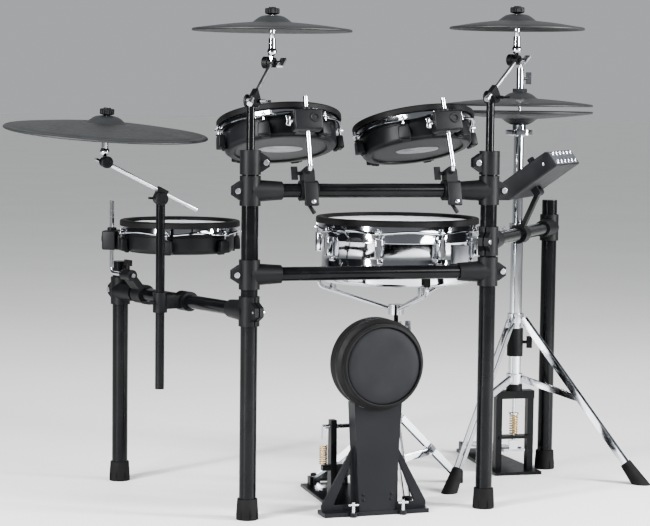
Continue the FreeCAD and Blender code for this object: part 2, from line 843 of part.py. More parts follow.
def drum_pad(name, radius, depth, wall, lug_width, lug_height, bolt_count, place, carriers):
    """A drum pad whose head plane is its own XY plane; the carriers are joined to its shell."""
    head_radius = radius + drum.skirt
    hoop_inner = head_radius + fit.snug
    hoop_outer = hoop_inner + drum.hoop_wall
    rim_inner = hoop_inner - drum.rim_lip
    rim_outer = hoop_outer + fit.snug + drum.rim_wall
    bolt_circle = hoop_outer + drum.ear_reach - drum.bolt_inset
    step_angle = 360 / int(bolt_count)

    # Shell, open at the top, with a chamfered foot and a recessed underside
    top = -drum.mesh - fit.face
    inner = radius - wall
    recess = radius - drum.chamfer - drum.floor_inset
    shell = turned([
        (0, drum.floor_rise - depth),
        (recess, drum.floor_rise - depth),
        (recess, -depth),
        (radius - drum.chamfer, -depth),
        (radius, drum.chamfer - depth),
        (radius, top),
        (inner, top),
        (inner, drum.chamfer + wall / 2 - depth),
        (radius - drum.chamfer + drum.floor_rise - wall / 2, drum.floor_rise + wall - depth),
        (0, drum.floor_rise + wall - depth),
    ])
    lug_top = -drum.hoop_height - drum.lug_gap
    lug_reach = bolt_circle + drum.bolt_head + drum.lug_overhang - inner
    lugs = []
    for n in range(int(bolt_count)):
        spoke = Placement(Vector(), Rotation(Z_AXIS, step_angle * (n + HALF_STEP) - 90))
        lugs.append(box(lug_reach, lug_width, lug_height,
                        spoke * at(inner + lug_reach / 2, 0, lug_top - lug_height)))
    hollow = cylinder(inner + wall / 2, depth, at(0, 0, -depth))
    shell_part = fused([shell] + [cut(item, [hollow]) for item in lugs] + carriers)
    sub_part(name + "_shell", shell_part, place)

    # Mesh head with the skirt that the hoop pulls down, and the rubber rim over the hoop
    seat = radius + fit.snug
    head = turned([
        (0, -drum.mesh),
        (seat, -drum.mesh),
        (seat, -drum.mesh - drum.skirt_height),
        (head_radius, -drum.mesh - drum.skirt_height),
        (head_radius, 0),
        (0, 0),
    ])
    rim_base = fit.face
    rim = turned([
        (rim_inner, rim_base),
        (hoop_outer + fit.snug, rim_base),
        (hoop_outer + fit.snug, -drum.rim_drop),
        (rim_outer, -drum.rim_drop),
        (rim_outer, drum.rim_rise - drum.rim_round),
        (rim_outer - drum.rim_round, drum.rim_rise),
        (rim_inner + drum.rim_round, drum.rim_rise),
        (rim_inner, drum.rim_rise - drum.rim_round),
    ])
    sub_part(name + "_head", together([head, rim]), place)

    # Flanged hoop with an ear for each tension bolt
    ring = turned([
        (hoop_inner, -drum.hoop_height),
        (hoop_outer, -drum.hoop_height),
        (hoop_outer, 0),
        (hoop_inner, 0),
    ])
    ear_top = drum.ear_height - drum.hoop_height
    ears = []
    holes = []
    bolts = []
    for n in range(int(bolt_count)):
        spoke = Placement(Vector(), Rotation(Z_AXIS, step_angle * (n + HALF_STEP) - 90))
        ears.append(box(drum.ear_reach + drum.hoop_wall / 2, drum.ear_width, drum.ear_height,
                        spoke * at(hoop_outer + drum.ear_reach / 2 - drum.hoop_wall / 4, 0, -drum.hoop_height)))
        foot_level = spoke * at(bolt_circle, 0, lug_top)
        shank = -lug_top - drum.hoop_height + drum.ear_height
        holes.append(prism(6, drum.bolt_radius + fit.snug, shank + fit.overrun, foot_level))
        bolts.append(fused([
            prism(6, drum.bolt_radius, shank, foot_level),
            prism(4, drum.bolt_head, drum.bolt_head_height, foot_level * at(0, 0, shank)),
        ]))
    hoop = cut(fused([ring] + ears), holes)
    sub_part(name + "_hoop", together([hoop] + bolts), place)


def tom_carriers():
    """The mount block beside a tom's shell, with the hole for the rod, and its neck to the shell."""
    level = -drum.block_drop - drum.block_height / 2
    neck_top = -drum.hoop_height - drum.lug_gap / 2
    inner = drum.tom_radius - drum.wall / 2
    neck_length = drum.reach - inner
    neck_height = neck_top - level
    hollow = cylinder(inner, drum.tom_depth, at(0, 0, -drum.tom_depth))
    block = fused([
        box(drum.block_width, drum.block_depth, drum.block_height, at(-drum.aside, -drum.reach, level)),
        cut(box(drum.neck_width, neck_length, neck_height,
                at(-drum.aside, -drum.reach + neck_length / 2, level)), [hollow]),
    ])
    hole = cylinder(grips.rod_radius + fit.snug, drum.block_height + fit.overrun * 2,
                    at(-drum.aside, -drum.reach, level - fit.overrun))
    return [cut(block, [hole])]


def tom_pad(name, rod_place, head_rise):
    """A tom whose block sits on an upright rod through the place given."""
    place = rod_place * at(drum.aside, drum.reach, head_rise)
    drum_pad(name, drum.tom_radius, drum.tom_depth, drum.wall, drum.tom_lug_width, drum.tom_lug_height,
             drum.tom_bolt_count, place, tom_carriers())


def bar_clamp():
    """The clamp that holds a rack tom's rod: a ring round the bar and an eye across it."""
    eye_radius = grips.rod_radius + grips.eye_wall
    casting = fused([
        cylinder(rack.bar_radius + grips.grip_wall, grips.width, at(-grips.width / 2, 0, 0, ALONG_X)),
        cylinder(eye_radius, grips.eye_length, at(0, -grips.eye_length / 2, grips.eye_lift, ALONG_Y)),
        box(eye_radius * 2, grips.eye_length, grips.eye_lift),
    ])
    length = grips.width + fit.overrun * 2
    bar = cylinder(rack.bar_radius + fit.running, length, at(-length / 2, 0, 0, ALONG_X))
    rod = cylinder(grips.rod_radius + fit.snug, grips.eye_length + fit.overrun * 2,
                   at(0, -grips.eye_length / 2 - fit.overrun, grips.eye_lift, ALONG_Y))
    knob = wing_screw(at(-eye_radius, 0, grips.eye_lift, Rotation(Y_AXIS, -90)))
    return together([cut(casting, [bar, rod]), knob])


def rack_tom(name, along, roll_angle):
    """A tom on the upper front bar, tilted towards the drummer about that bar."""
    tilt = rack_left * at(along, 0, rack.high_bar, Rotation(X_AXIS, -drum.tom_tilt_angle))
    sub_part(name + "_clamp", bar_clamp(), tilt)
    lean = Rotation(Y_AXIS, -roll_angle)
    front = Vector(0, -drum.rod_front, grips.eye_lift)
    rise = lean.multVec(Z_AXIS) * (drum.rod_top - grips.eye_lift)
    sub_part(name + "_rod", bent_rod(grips.rod_radius, [
        Vector(0, drum.rod_back, grips.eye_lift), front, front + rise], drum.rod_bend), tilt)
    tom_pad(name, tilt * Placement(front, lean), drum.tom_rise - grips.eye_lift)
    pivot(name + "_tilt", tilt.Base, tilt.Rotation.multVec(X_AXIS))


rack_tom("tom_left", drum.left_along, 0)
rack_tom("tom_right", rack.span_length - drum.right_inset, drum.right_roll_angle)

floor_leg = rack.left_bar + grips.floor_lift
floor_corner = Vector(rack.span_length - drum.floor_rod_inset, grips.floor_out, floor_leg)
sub_part("floor_tom_rod", bent_rod(grips.rod_radius, [
    Vector(rack.span_length - drum.floor_rod_inset - drum.floor_rod_length, grips.floor_out, floor_leg),
    floor_corner,
    Vector(rack.span_length - drum.floor_rod_inset, grips.floor_out, drum.floor_rod_top),
], drum.rod_bend), left_wing)
floor_rod = left_wing * Placement(floor_corner, Rotation(Z_AXIS, drum.floor_yaw_angle))
tom_pad("floor_tom", floor_rod, drum.floor_rise_height - floor_leg)
pivot("floor_tom_tilt", left_wing.multVec(floor_corner), left_wing.Rotation.multVec(X_AXIS))

snare_y = drum.snare_leg_radius + drum.snare_clear
snare_place = yawed(drum.snare_x, snare_y, drum.snare_top, drum.snare_turn_angle)
drum_pad("snare", drum.snare_radius, drum.snare_depth, drum.snare_wall, drum.snare_lug_width,
         drum.snare_lug_height, drum.snare_bolt_count, snare_place, [])

# Snare stand: a tripod with a sliding post, and a tilting basket of three arms
STAND = {
    "fork_height": 398.0,
    "fork_radius": 13.0,
    "fork_width": 26.0,
    "fork_web": 5.0,
    "tongue_radius": 7.6,
    "tongue_width": 10.0,
    "stem_width": 12.0,
    "pin_radius": 3.5,
    "hub_rise": 30.0,
    "hub_radius": 19.0,
    "hub_height": 24.0,
    "arm_count": 3,
    "arm_radius": 5.0,
    "arm_bend": 16.0,
    "arm_top": 532.0,
    "arm_turn_angle": 50.0,
    "pad_radius": 8.0,
    "pad_height": 22.0,
    "rest_inset": 26.0,
    "post_radius": 9.5,
    "post_foot": 190.0,
    "tube_radius": 12.7,
    "tube_wall": 2.0,
    "tube_top": 330.0,
    "tube_foot": 52.0,
    "collar_radius": 18.5,
    "collar_height": 34.0,
    "leg_level": 178.0,
    "brace_level": 74.0,
    "ring_height": 22.0,
    "leg_turn_angle": 37.0,
    "leg_width": 16.0,
    "leg_thickness": 3.0,
    "leg_gap": 10.0,
    "foot_radius": 12.0,
    "foot_height": 26.0,
    "brace_share": 0.55,
}
stand = on_sheet("stand", STAND)


def spoke_at(count, number, turn_angle):
    return Rotation(Z_AXIS, 360 * number / int(count) + turn_angle)


def leg_pair(inner, outer, width, thickness, gap, turn, core=None):
    """Two flat strips side by side in one upright plane, cut to lie against a round core."""
    strips = []
    sideways = turn.multVec(Y_AXIS)
    for side in (-1, 1):
        shift = sideways * (side * (gap + thickness) / 2)
        strip = strip_between(width, thickness, turn.multVec(inner) + shift, turn.multVec(outer) + shift,
                              sideways)
        strips.append(cut(strip, [core]) if core else strip)
    return strips


snare_floor = at(drum.snare_x, snare_y, 0)
snare_base = drum.snare_top - drum.snare_depth
basket_items = []
hub_base = stand.fork_height + stand.hub_rise
arm_out = drum.snare_radius + fit.face + stand.pad_radius
arm_level = hub_base + stand.hub_height / 2
rest_spot = drum.snare_radius - stand.rest_inset
slope = (snare_base - stand.pad_radius * 2 - arm_level) / arm_out
pads = []
for n in range(int(stand.arm_count)):
    turn = spoke_at(stand.arm_count, n, stand.arm_turn_angle)
    route = [
        turn.multVec(Vector(stand.hub_radius / 2, 0, arm_level)),
        turn.multVec(Vector(arm_out, 0, arm_level + slope * arm_out)),
        turn.multVec(Vector(arm_out, 0, stand.arm_top)),
    ]
    basket_items.append(bent_rod(stand.arm_radius, route, stand.arm_bend))
    spoke = Placement(Vector(), turn)
    grip = cylinder(stand.pad_radius, stand.pad_height, spoke * at(arm_out, 0, stand.arm_top - stand.pad_height))
    grip_bore = cylinder(stand.arm_radius + fit.snug, stand.pad_height + fit.overrun * 2,
                         spoke * at(arm_out, 0, stand.arm_top - stand.pad_height - fit.overrun))
    pads.append(cut(grip, [grip_bore]))
    rest_level = arm_level + slope * rest_spot
    basket_items.append(cylinder(stand.pad_radius, snare_base - rest_level - fit.face,
                                 spoke * at(rest_spot, 0, rest_level)))
fork = at(0, 0, stand.fork_height)
hub_solid = cut(fused([
    cylinder(stand.hub_radius, stand.hub_height, at(0, 0, hub_base)),
    cylinder(stand.tongue_radius, stand.tongue_width, fork * at(-stand.tongue_width / 2, 0, 0, ALONG_X)),
    box(stand.tongue_width, stand.stem_width, stand.hub_rise + stand.hub_height / 2, fork),
]), [cylinder(stand.pin_radius + fit.running, stand.tongue_width + fit.overrun * 2,
              fork * at(-stand.tongue_width / 2 - fit.overrun, 0, 0, ALONG_X))])
sub_part("snare_basket", together([fused([hub_solid] + basket_items)] + pads), snare_floor)
pivot("snare_tilt", snare_floor.multVec(fork.Base), X_AXIS)

fork_slot = stand.tongue_width + fit.face * 2
fork_solid = cut(fused([
    cylinder(stand.post_radius, stand.fork_height - stand.post_foot, at(0, 0, stand.post_foot)),
    cylinder(stand.fork_radius, stand.fork_width, fork * at(-stand.fork_width / 2, 0, 0, ALONG_X)),
]), [box(fork_slot, stand.fork_radius * 2 + fit.overrun, stand.fork_radius * 2,
         fork * at(0, 0, stand.fork_web - stand.fork_radius))])
sub_part("snare_post", fused([
    fork_solid,
    cylinder(stand.pin_radius, stand.fork_width, fork * at(-stand.fork_width / 2, 0, 0, ALONG_X)),
    wing_screw(fork * at(stand.fork_width / 2, 0, 0, ALONG_X)),
]), snare_floor)
pivot("snare_height", snare_floor.multVec(fork.Base), Z_AXIS)

tripod = [
    tube(stand.tube_radius, stand.tube_wall, stand.tube_top - stand.tube_foot, at(0, 0, stand.tube_foot)),
]
collar_bore = stand.tube_radius + fit.snug
cap_bore = stand.post_radius + fit.running
tripod.append(turned([
    (collar_bore, stand.tube_top - stand.collar_height / 2),
    (stand.collar_radius, stand.tube_top - stand.collar_height / 2),
    (stand.collar_radius, stand.tube_top + stand.collar_height / 2),
    (cap_bore, stand.tube_top + stand.collar_height / 2),
    (cap_bore, stand.tube_top + fit.face),
    (collar_bore, stand.tube_top + fit.face),
]))
tripod.append(wing_screw(at(stand.collar_radius, 0, stand.tube_top, ALONG_X)))
for level in (stand.leg_level, stand.brace_level):
    tripod.append(turned([
        (collar_bore, level - stand.ring_height / 2),
        (stand.collar_radius, level - stand.ring_height / 2),
        (stand.collar_radius, level + stand.ring_height / 2),
        (collar_bore, level + stand.ring_height / 2),
    ]))
foot_hold = stand.foot_height / 2
tripod_core = cylinder(stand.collar_radius, stand.tube_top)
for n in range(int(stand.arm_count)):
    turn = spoke_at(stand.arm_count, n, stand.leg_turn_angle)
    top = Vector(stand.collar_radius, 0, stand.leg_level)
    toe = Vector(drum.snare_leg_radius, 0, foot_hold)
    knee = top + (toe - top) * stand.brace_share
    root = Vector(stand.collar_radius, 0, stand.brace_level)
    tripod += leg_pair(top, toe, stand.leg_width, stand.leg_thickness, stand.leg_gap, turn, tripod_core)
    inner_gap = stand.leg_gap - stand.leg_thickness * 2 - fit.face * 2
    tripod += leg_pair(root, knee, stand.leg_width, stand.leg_thickness, inner_gap, turn, tripod_core)
    spoke = Placement(Vector(), turn)
    shoe = cylinder(stand.foot_radius, stand.foot_height, spoke * at(drum.snare_leg_radius, 0, 0))
    slots = leg_pair(top, toe, stand.leg_width + fit.snug * 2, stand.leg_thickness + fit.snug * 2,
                     stand.leg_gap - fit.snug * 2, turn)
    tripod.append(cut(shoe, slots))
sub_part("snare_stand", together(tripod), snare_floor)

# Hi-hat: two pads on a two-legged stand, with a pedal that pulls the rod of the upper pad
HIHAT = {
    "x": 366.0,
    "y": 545.0,
    "pedal_angle": 105.0,
    "radius": 183.0,
    "bow": 12.0,
    "edge_level": 915.0,
    "opening": 12.0,
    "plate_thickness": 8.0,
    "plate_toe": 62.0,
    "plate_heel": 42.0,
    "plate_front": 44.0,
    "plate_back": 322.0,
    "post_width": 16.0,
    "post_depth": 22.0,
    "post_spread": 84.0,
    "yoke_level": 190.0,
    "yoke_height": 20.0,
    "yoke_width": 30.0,
    "boss_radius": 20.5,
    "boss_height": 16.0,
    "tube_radius": 15.4,
    "tube_wall": 2.2,
    "tube_top": 610.0,
    "upper_radius": 12.6,
    "upper_wall": 2.4,
    "upper_foot": 430.0,
    "seat_level": 852.0,
    "seat_height": 16.0,
    "seat_radius": 34.0,
    "seat_wall": 4.0,
    "cup_radius": 17.0,
    "rod_radius": 3.4,
    "rod_top": 1036.0,
    "clutch_radius": 9.0,
    "clutch_height": 52.0,
    "felt_radius": 18.0,
    "felt_height": 9.0,
    "leg_level": 394.0,
    "leg_ring": 24.0,
    "leg_ring_radius": 20.5,
    "brace_level": 241.0,
    "sleeve_foot": 298.0,
    "sleeve_height": 70.0,
    "sleeve_radius": 20.0,
    "leg_radius": 320.0,
    "leg_left_angle": 238.5,
    "leg_right_angle": -26.0,
    "leg_width": 16.0,
    "leg_thickness": 3.0,
    "leg_gap": 11.0,
    "brace_share": 0.52,
    "foot_radius": 21.0,
    "foot_taper": 7.0,
    "foot_length": 36.0,
    "foot_height": 44.0,
    "heel": 296.0,
    "heel_height": 24.0,
    "barrel_radius": 6.5,
    "barrel_pin": 3.0,
    "ear_width": 8.0,
    "ear_depth": 20.0,
    "board_toe": -10.0,
    "board_rise": 34.0,
    "board_width": 56.0,
    "board_heel_width": 66.0,
    "board_thickness": 6.0,
    "rib_height": 3.0,
    "rib_width": 5.0,
    "rib_count": 7,
    "link_width": 22.0,
    "link_thickness": 8.0,
    "link_height": 22.0,
    "rest_level": 88.0,
    "rest_height": 7.0,
    "washer_radius": 12.5,
    "washer_height": 4.0,
    "spring_radius": 9.5,
    "spring_wire": 1.5,
    "spring_height": 50.0,
    "spring_turn_count": 8,
}
hat = on_sheet("hat", HIHAT)

hat_place = at(hat.x, hat.y, 0)
hat_pedal = yawed(hat.x, hat.y, 0, hat.pedal_angle)


def arc_between(start, corner, end):
    """The circular arc that leaves start towards the corner and reaches end from it."""
    middle = (start + end) * 0.5
    chord = (end - start).Length / 2
    rise = corner - middle
    sagitta = chord * math.tan(math.atan2(rise.Length, chord) / 2)
    return Part.Arc(start, middle + rise.normalize() * sagitta, end).toShape()


def biarc(start, heading, end, arrival):
    """Two arcs that join two points and keep the direction given at each."""
    span = end - start
    both = heading + arrival
    spread = 1 - heading.dot(arrival)
    along = span.dot(both)
    reach = (math.sqrt(along * along + 2 * spread * span.dot(span)) - along) / (2 * spread)
    first = start + heading * reach
    last = end - arrival * reach
    joint = (first + last) * 0.5
    return [arc_between(start, first, joint), arc_between(joint, last, end)]


def coil(radius, wire, height, turn_count):
    """A spring wound upwards from the origin, as one tube on a pair of arcs per quarter turn."""
    pitch = height / turn_count
    slope = pitch / (2 * math.pi * radius)

    def spot(step):
        angle = step * math.pi / 2
        return Vector(radius * math.cos(angle), radius * math.sin(angle), pitch * step / 4)

    def heading(step):
        angle = step * math.pi / 2
        return Vector(-math.sin(angle), math.cos(angle), slope).normalize()

    edges = []
    for step in range(int(turn_count) * 4):
        edges += biarc(spot(step), heading(step), spot(step + 1), heading(step + 1))
    path = Part.Wire(edges)
    ring = Part.Wire([Part.Circle(spot(0), heading(0), wire).toShape()])
    marks = path.discretize(int(turn_count) * 48)
    apart = 48 // 2
    least = min(one.distanceToPoint(other) for n, one in enumerate(marks) for other in marks[n + apart:])
    print("spring of %d turns, least gap to itself %.2f" % (turn_count, least - wire * 2))
    return path.makePipeShell([ring], True, False)


def helical_spring(radius, wire, height, turn_count, place=Placement()):
    item = doc.addObject("Part::Feature", "Spring")
    item.Shape = coil(radius, wire, height, turn_count)
    item.Placement = place
    return item


# Pads: the lower one is turned over and rests on the seat at the top of the tube
pad_depth = cym.bell_height + hat.bow + cym.edge_fall + cym.edge_side - cym.hub
lower_hub = hat.edge_level - pad_depth
upper_hub = hat.edge_level + hat.opening + pad_depth
sub_part("hihat_bottom", cymbal_pad(hat.radius, hat.bow),
         hat_place * at(0, 0, lower_hub, Rotation(X_AXIS, 180)))
sub_part("hihat_top", cymbal_pad(hat.radius, hat.bow), hat_place * at(0, 0, upper_hub))

# Rod with the clutch that grips the upper pad, the washer on its spring, and the link at its foot
board_run = hat.heel - hat.board_toe
board_level = hat.heel_height + hat.board_rise * hat.heel / board_run
rod_foot = board_level + hat.board_thickness / 2 + fit.face * 2
spring_foot = hat.rest_level + hat.rest_height + hat.spring_wire + fit.face
washer_foot = spring_foot + hat.spring_height + hat.spring_wire + fit.face
felt_seat = upper_hub + cym.hub + fit.face
clutch_seat = felt_seat + hat.felt_height
clutch_bore = hat.rod_radius + fit.snug
felt_profile = [
    (clutch_bore, 0),
    (hat.felt_radius, 0),
    (hat.felt_radius, hat.felt_height),
    (clutch_bore, hat.felt_height),
]
clutch = fused([
    cylinder(hat.rod_radius, hat.rod_top - rod_foot, at(0, 0, rod_foot)),
    cylinder(hat.washer_radius, hat.washer_height, at(0, 0, washer_foot)),
    cylinder(hat.clutch_radius, hat.clutch_height, at(0, 0, clutch_seat)),
    wing_screw(at(hat.clutch_radius - grips.wing_stem_radius, 0, clutch_seat + hat.clutch_height / 2, ALONG_X)),
    box(hat.link_thickness, hat.link_width, hat.link_height,
        Placement(Vector(0, 0, rod_foot), Rotation(Z_AXIS, hat.pedal_angle))),
])
sub_part("hihat_rod", together([
    clutch,
    turned(felt_profile, at(0, 0, felt_seat)),
    turned(felt_profile, at(0, 0, upper_hub - fit.face - hat.felt_height)),
]), hat_place)
pivot("hihat_rod_slide", hat_place.multVec(Vector(0, 0, upper_hub)), Z_AXIS)

def floor_shoe(top, toe, radius, taper, length, turn, slots):
    """A rubber shoe in line with a leg, cut level with the floor and slotted for the leg's strips."""
    line = (top - toe).normalize()
    start = toe - line * ((toe.z + radius) / line.z)
    end = toe + line * length
    body = cone(radius, radius - taper, (end - start).Length,
                Placement(Vector(), turn) * Placement(start, Rotation(Z_AXIS, line)))
    below = box(radius * 8, radius * 8, radius * 4,
                Placement(Vector(), turn) * at(toe.x, 0, -radius * 4))
    return cut(body, [below] + slots)


# Stand: lower and upper tube, seat, collars, two legs of paired strips, and their braces
yoke_top = hat.yoke_level + hat.yoke_height
ring_bore = hat.tube_radius + fit.snug
stand_items = [
    tube(hat.tube_radius, hat.tube_wall, hat.tube_top - yoke_top, at(0, 0, yoke_top)),
    tube(hat.upper_radius, hat.upper_wall, hat.seat_level - hat.upper_foot, at(0, 0, hat.upper_foot)),
]
cup_bore = hat.upper_radius - hat.upper_wall
cup_top = lower_hub - cym.hub - fit.face
stand_items.append(turned([
    (cup_bore, hat.seat_level),
    (hat.cup_radius, hat.seat_level),
    (hat.seat_radius, hat.seat_level + hat.seat_wall),
    (hat.seat_radius, hat.seat_level + hat.seat_height),
    (hat.cup_radius, hat.seat_level + hat.seat_height),
    (hat.cup_radius, cup_top),
    (cup_bore, cup_top),
]))
stand_items.append(turned([
    (ring_bore, hat.tube_top - hat.leg_ring),
    (hat.leg_ring_radius, hat.tube_top - hat.leg_ring),
    (hat.leg_ring_radius, hat.tube_top + hat.leg_ring),
    (hat.upper_radius + fit.snug, hat.tube_top + hat.leg_ring),
    (hat.upper_radius + fit.snug, hat.tube_top + fit.face),
    (ring_bore, hat.tube_top + fit.face),
]))
stand_items.append(wing_screw(at(-hat.leg_ring_radius, 0, hat.tube_top, Rotation(Y_AXIS, -90))))
for level, height, radius in (
    (hat.leg_level, hat.leg_ring, hat.leg_ring_radius),
    (hat.brace_level, hat.leg_ring, hat.leg_ring_radius),
    (hat.sleeve_foot + hat.sleeve_height / 2, hat.sleeve_height, hat.sleeve_radius),
):
    stand_items.append(turned([
        (ring_bore, level - height / 2),
        (radius, level - height / 2),
        (radius, level + height / 2),
        (ring_bore, level + height / 2),
    ]))
stand_items.append(wing_screw(at(hat.sleeve_radius, 0, hat.sleeve_foot + hat.sleeve_height / 2, ALONG_X)))
hat_core = cylinder(hat.leg_ring_radius, hat.tube_top)
for angle in (hat.leg_left_angle, hat.leg_right_angle):
    turn = Rotation(Z_AXIS, angle)
    top = Vector(hat.leg_ring_radius, 0, hat.leg_level)
    toe = Vector(hat.leg_radius, 0, hat.foot_height / 2)
    knee = top + (toe - top) * hat.brace_share
    root = Vector(hat.leg_ring_radius, 0, hat.brace_level)
    inner_gap = hat.leg_gap - hat.leg_thickness * 2 - fit.face * 2
    stand_items += leg_pair(top, toe, hat.leg_width, hat.leg_thickness, hat.leg_gap, turn, hat_core)
    stand_items += leg_pair(root, knee, hat.leg_width, hat.leg_thickness, inner_gap, turn, hat_core)
    slots = leg_pair(top, toe, hat.leg_width + fit.snug * 2, hat.leg_thickness + fit.snug * 2,
                     hat.leg_gap - fit.snug * 2, turn)
    stand_items.append(floor_shoe(top, toe, hat.foot_radius, hat.foot_taper, hat.foot_length, turn, slots))
sub_part("hihat_stand", together(stand_items), hat_place)

# Pedal frame: base plate, two posts and the yoke under the tube, with ears for the heel hinge
plate = padded([
    (-hat.plate_front, -hat.plate_toe),
    (hat.plate_back, -hat.plate_heel),
    (hat.plate_back, hat.plate_heel),
    (-hat.plate_front, hat.plate_toe),
], hat.plate_thickness, "XY_Plane", Placement(), False)
post_height = hat.yoke_level - hat.plate_thickness
frame_items = [plate]
for side in (-1, 1):
    frame_items.append(box(hat.post_depth, hat.post_width, post_height,
                           at(0, side * hat.post_spread / 2, hat.plate_thickness)))
    ear = box(hat.ear_depth, hat.ear_width, hat.heel_height + hat.barrel_radius - hat.plate_thickness,
              at(hat.heel, side * (hat.board_heel_width + hat.ear_width + fit.face * 2) / 2,
                 hat.plate_thickness))
    frame_items.append(ear)
frame_items.append(box(hat.yoke_width, hat.post_spread + hat.post_width, hat.yoke_height,
                       at(0, 0, hat.yoke_level)))
frame_items.append(box(hat.yoke_width, hat.post_spread, hat.rest_height, at(0, 0, hat.rest_level)))
boss = turned([
    (hat.tube_radius + fit.snug, yoke_top),
    (hat.boss_radius, yoke_top),
    (hat.boss_radius, yoke_top + hat.boss_height),
    (hat.tube_radius + fit.snug, yoke_top + hat.boss_height),
])
frame_items.append(boss)
pin_length = hat.board_heel_width + hat.ear_width
heel_pin = cylinder(hat.barrel_pin, pin_length, at(hat.heel, -pin_length / 2, hat.heel_height, ALONG_Y))
rod_way = cylinder(hat.rod_radius + fit.overrun, yoke_top + fit.overrun - hat.rest_level,
                   at(0, 0, hat.rest_level - fit.overrun))
sub_part("hihat_frame", fused([cut(fused(frame_items), [rod_way]), heel_pin]), hat_pedal)
sub_part("hihat_spring", helical_spring(hat.spring_radius, hat.spring_wire, hat.spring_height,
                                        hat.spring_turn_count), hat_place * at(0, 0, spring_foot))

# Footboard, hinged at the heel, with grip ribs across it
board_tilt = Rotation(Y_AXIS, math.degrees(math.atan2(hat.board_rise, board_run)))
board_length = Size(math.hypot(hat.board_rise, board_run), "sqrt(%s^2 + %s^2)" % (
    hat.board_rise.formula, board_run.formula))
board = padded([
    (-board_length, -hat.board_width / 2),
    (0, -hat.board_heel_width / 2),
    (0, hat.board_heel_width / 2),
    (-board_length, hat.board_width / 2),
], hat.board_thickness)
rib_step = board_length / (hat.rib_count + 1)
ribs = [box(hat.rib_width, hat.board_heel_width, hat.rib_height,
            at(-rib_step * (n + 1), 0, hat.board_thickness / 2)) for n in range(int(hat.rib_count))]
barrel = cylinder(hat.barrel_radius, hat.board_heel_width, at(0, -hat.board_heel_width / 2, 0, ALONG_Y))
barrel_bore = cylinder(hat.barrel_pin + fit.running, hat.board_heel_width + fit.overrun * 2,
                       at(0, -hat.board_heel_width / 2 - fit.overrun, 0, ALONG_Y))
heel_spot = at(hat.heel, 0, hat.heel_height)
sub_part("hihat_footboard", cut(fused([board, barrel] + ribs), [barrel_bore]),
         hat_pedal * heel_spot * Placement(Vector(), board_tilt))
pivot("hihat_pedal", (hat_pedal * heel_spot).Base, hat_pedal.Rotation.multVec(Y_AXIS))

# Kick tower with its round pad, and the pedal that swings a beater against the pad's back
KICK = {
    "yaw_angle": 19.0,
    "pad_level": 345.0,
    "pad_radius": 104.0,
    "pad_front": -62.0,
    "pad_back": 18.0,
    "rim_radius": 90.0,
    "disc_radius": 84.0,
    "rim_step": 22.0,
    "rim_lip": 5.0,
    "disc_sink": 4.0,
    "back_inset": 8.0,
    "core_wall": 12.0,
    "top_width": 118.0,
    "foot_width": 86.0,
    "panel_top": 290.0,
    "panel_foot": 10.0,
    "panel_depth": 46.0,
    "panel_front": -26.0,
    "panel_wall": 5.0,
    "base_width": 252.0,
    "base_depth": 52.0,
    "base_thickness": 10.0,
    "stay_top": 190.0,
    "stay_inset": 34.0,
    "stay_thickness": 8.0,
    "stay_window": 14.0,
    "spike_radius": 4.0,
    "spike_spread": 120.0,
    "spike_height": 34.0,
    "spike_handle": 24.0,
    "spike_grip_radius": 3.0,
    "plate_gap": 0.5,
    "plate_toe": 84.0,
    "plate_heel": 58.0,
    "plate_length": 330.0,
    "plate_thickness": 7.0,
    "post_spread": 150.0,
    "post_width": 14.0,
    "post_depth": 30.0,
    "post_top_depth": 20.0,
    "axle_y": 72.0,
    "axle_level": 192.0,
    "axle_radius": 5.0,
    "axle_left": 100.0,
    "axle_right": 84.0,
    "cam_radius": 46.0,
    "cam_width": 12.0,
    "shaft_radius": 3.6,
    "shaft_length": 190.0,
    "beater_radius": 22.0,
    "beater_length": 44.0,
    "beater_reach": 154.0,
    "beater_angle": 38.0,
    "hub_radius": 12.0,
    "hub_width": 30.0,
    "arm_length": 30.0,
    "arm_width": 12.0,
    "arm_thickness": 6.0,
    "heel": 318.0,
    "heel_level": 24.0,
    "barrel_radius": 6.5,
    "barrel_pin": 3.0,
    "ear_width": 8.0,
    "ear_depth": 22.0,
    "board_rise": 74.0,
    "board_width": 96.0,
    "board_heel_width": 80.0,
    "board_thickness": 6.0,
    "rib_height": 2.5,
    "rib_width": 6.0,
    "rib_count": 6,
    "strap_width": 11.0,
    "strap_thickness": 4.0,
    "spring_radius": 8.0,
    "spring_wire": 1.4,
    "spring_height": 44.0,
    "spring_turn_count": 9,
    "bracket_width": 16.0,
    "bracket_height": 12.0,
    "spring_foot": 112.0,
}
kick = on_sheet("kick", KICK)
kick_place = Placement(Vector(), Rotation(Z_AXIS, kick.yaw_angle))

# Tower: a tapering channel that cradles the pad, on a base bar with two gusset stays
tower = padded([
    (-kick.foot_width / 2, kick.panel_foot),
    (kick.foot_width / 2, kick.panel_foot),
    (kick.top_width / 2, kick.panel_top),
    (-kick.top_width / 2, kick.panel_top),
], kick.panel_depth, "XZ_Plane")
inner_foot = kick.foot_width / 2 - kick.panel_wall
inner_top = kick.top_width / 2 - kick.panel_wall
hollow = padded([
    (-inner_foot, kick.panel_foot - fit.overrun),
    (inner_foot, kick.panel_foot - fit.overrun),
    (inner_top, kick.panel_top),
    (-inner_top, kick.panel_top),
], kick.panel_depth, "XZ_Plane", at(0, kick.panel_wall, 0))
panel_middle = kick.panel_front + kick.panel_depth / 2
pad_room = cylinder(kick.pad_radius + fit.face, kick.panel_depth * 2,
                    at(0, -kick.panel_depth, kick.pad_level, ALONG_Y))
channel = placed(cut(tower, [hollow]), at(0, panel_middle, 0))
tower_items = [
    cut(channel, [pad_room]),
    box(kick.base_width, kick.base_depth, kick.base_thickness, at(0, panel_middle, 0)),
]
stay_inner = kick.stay_inset
stay_outer = kick.base_width / 2
window = kick.stay_window
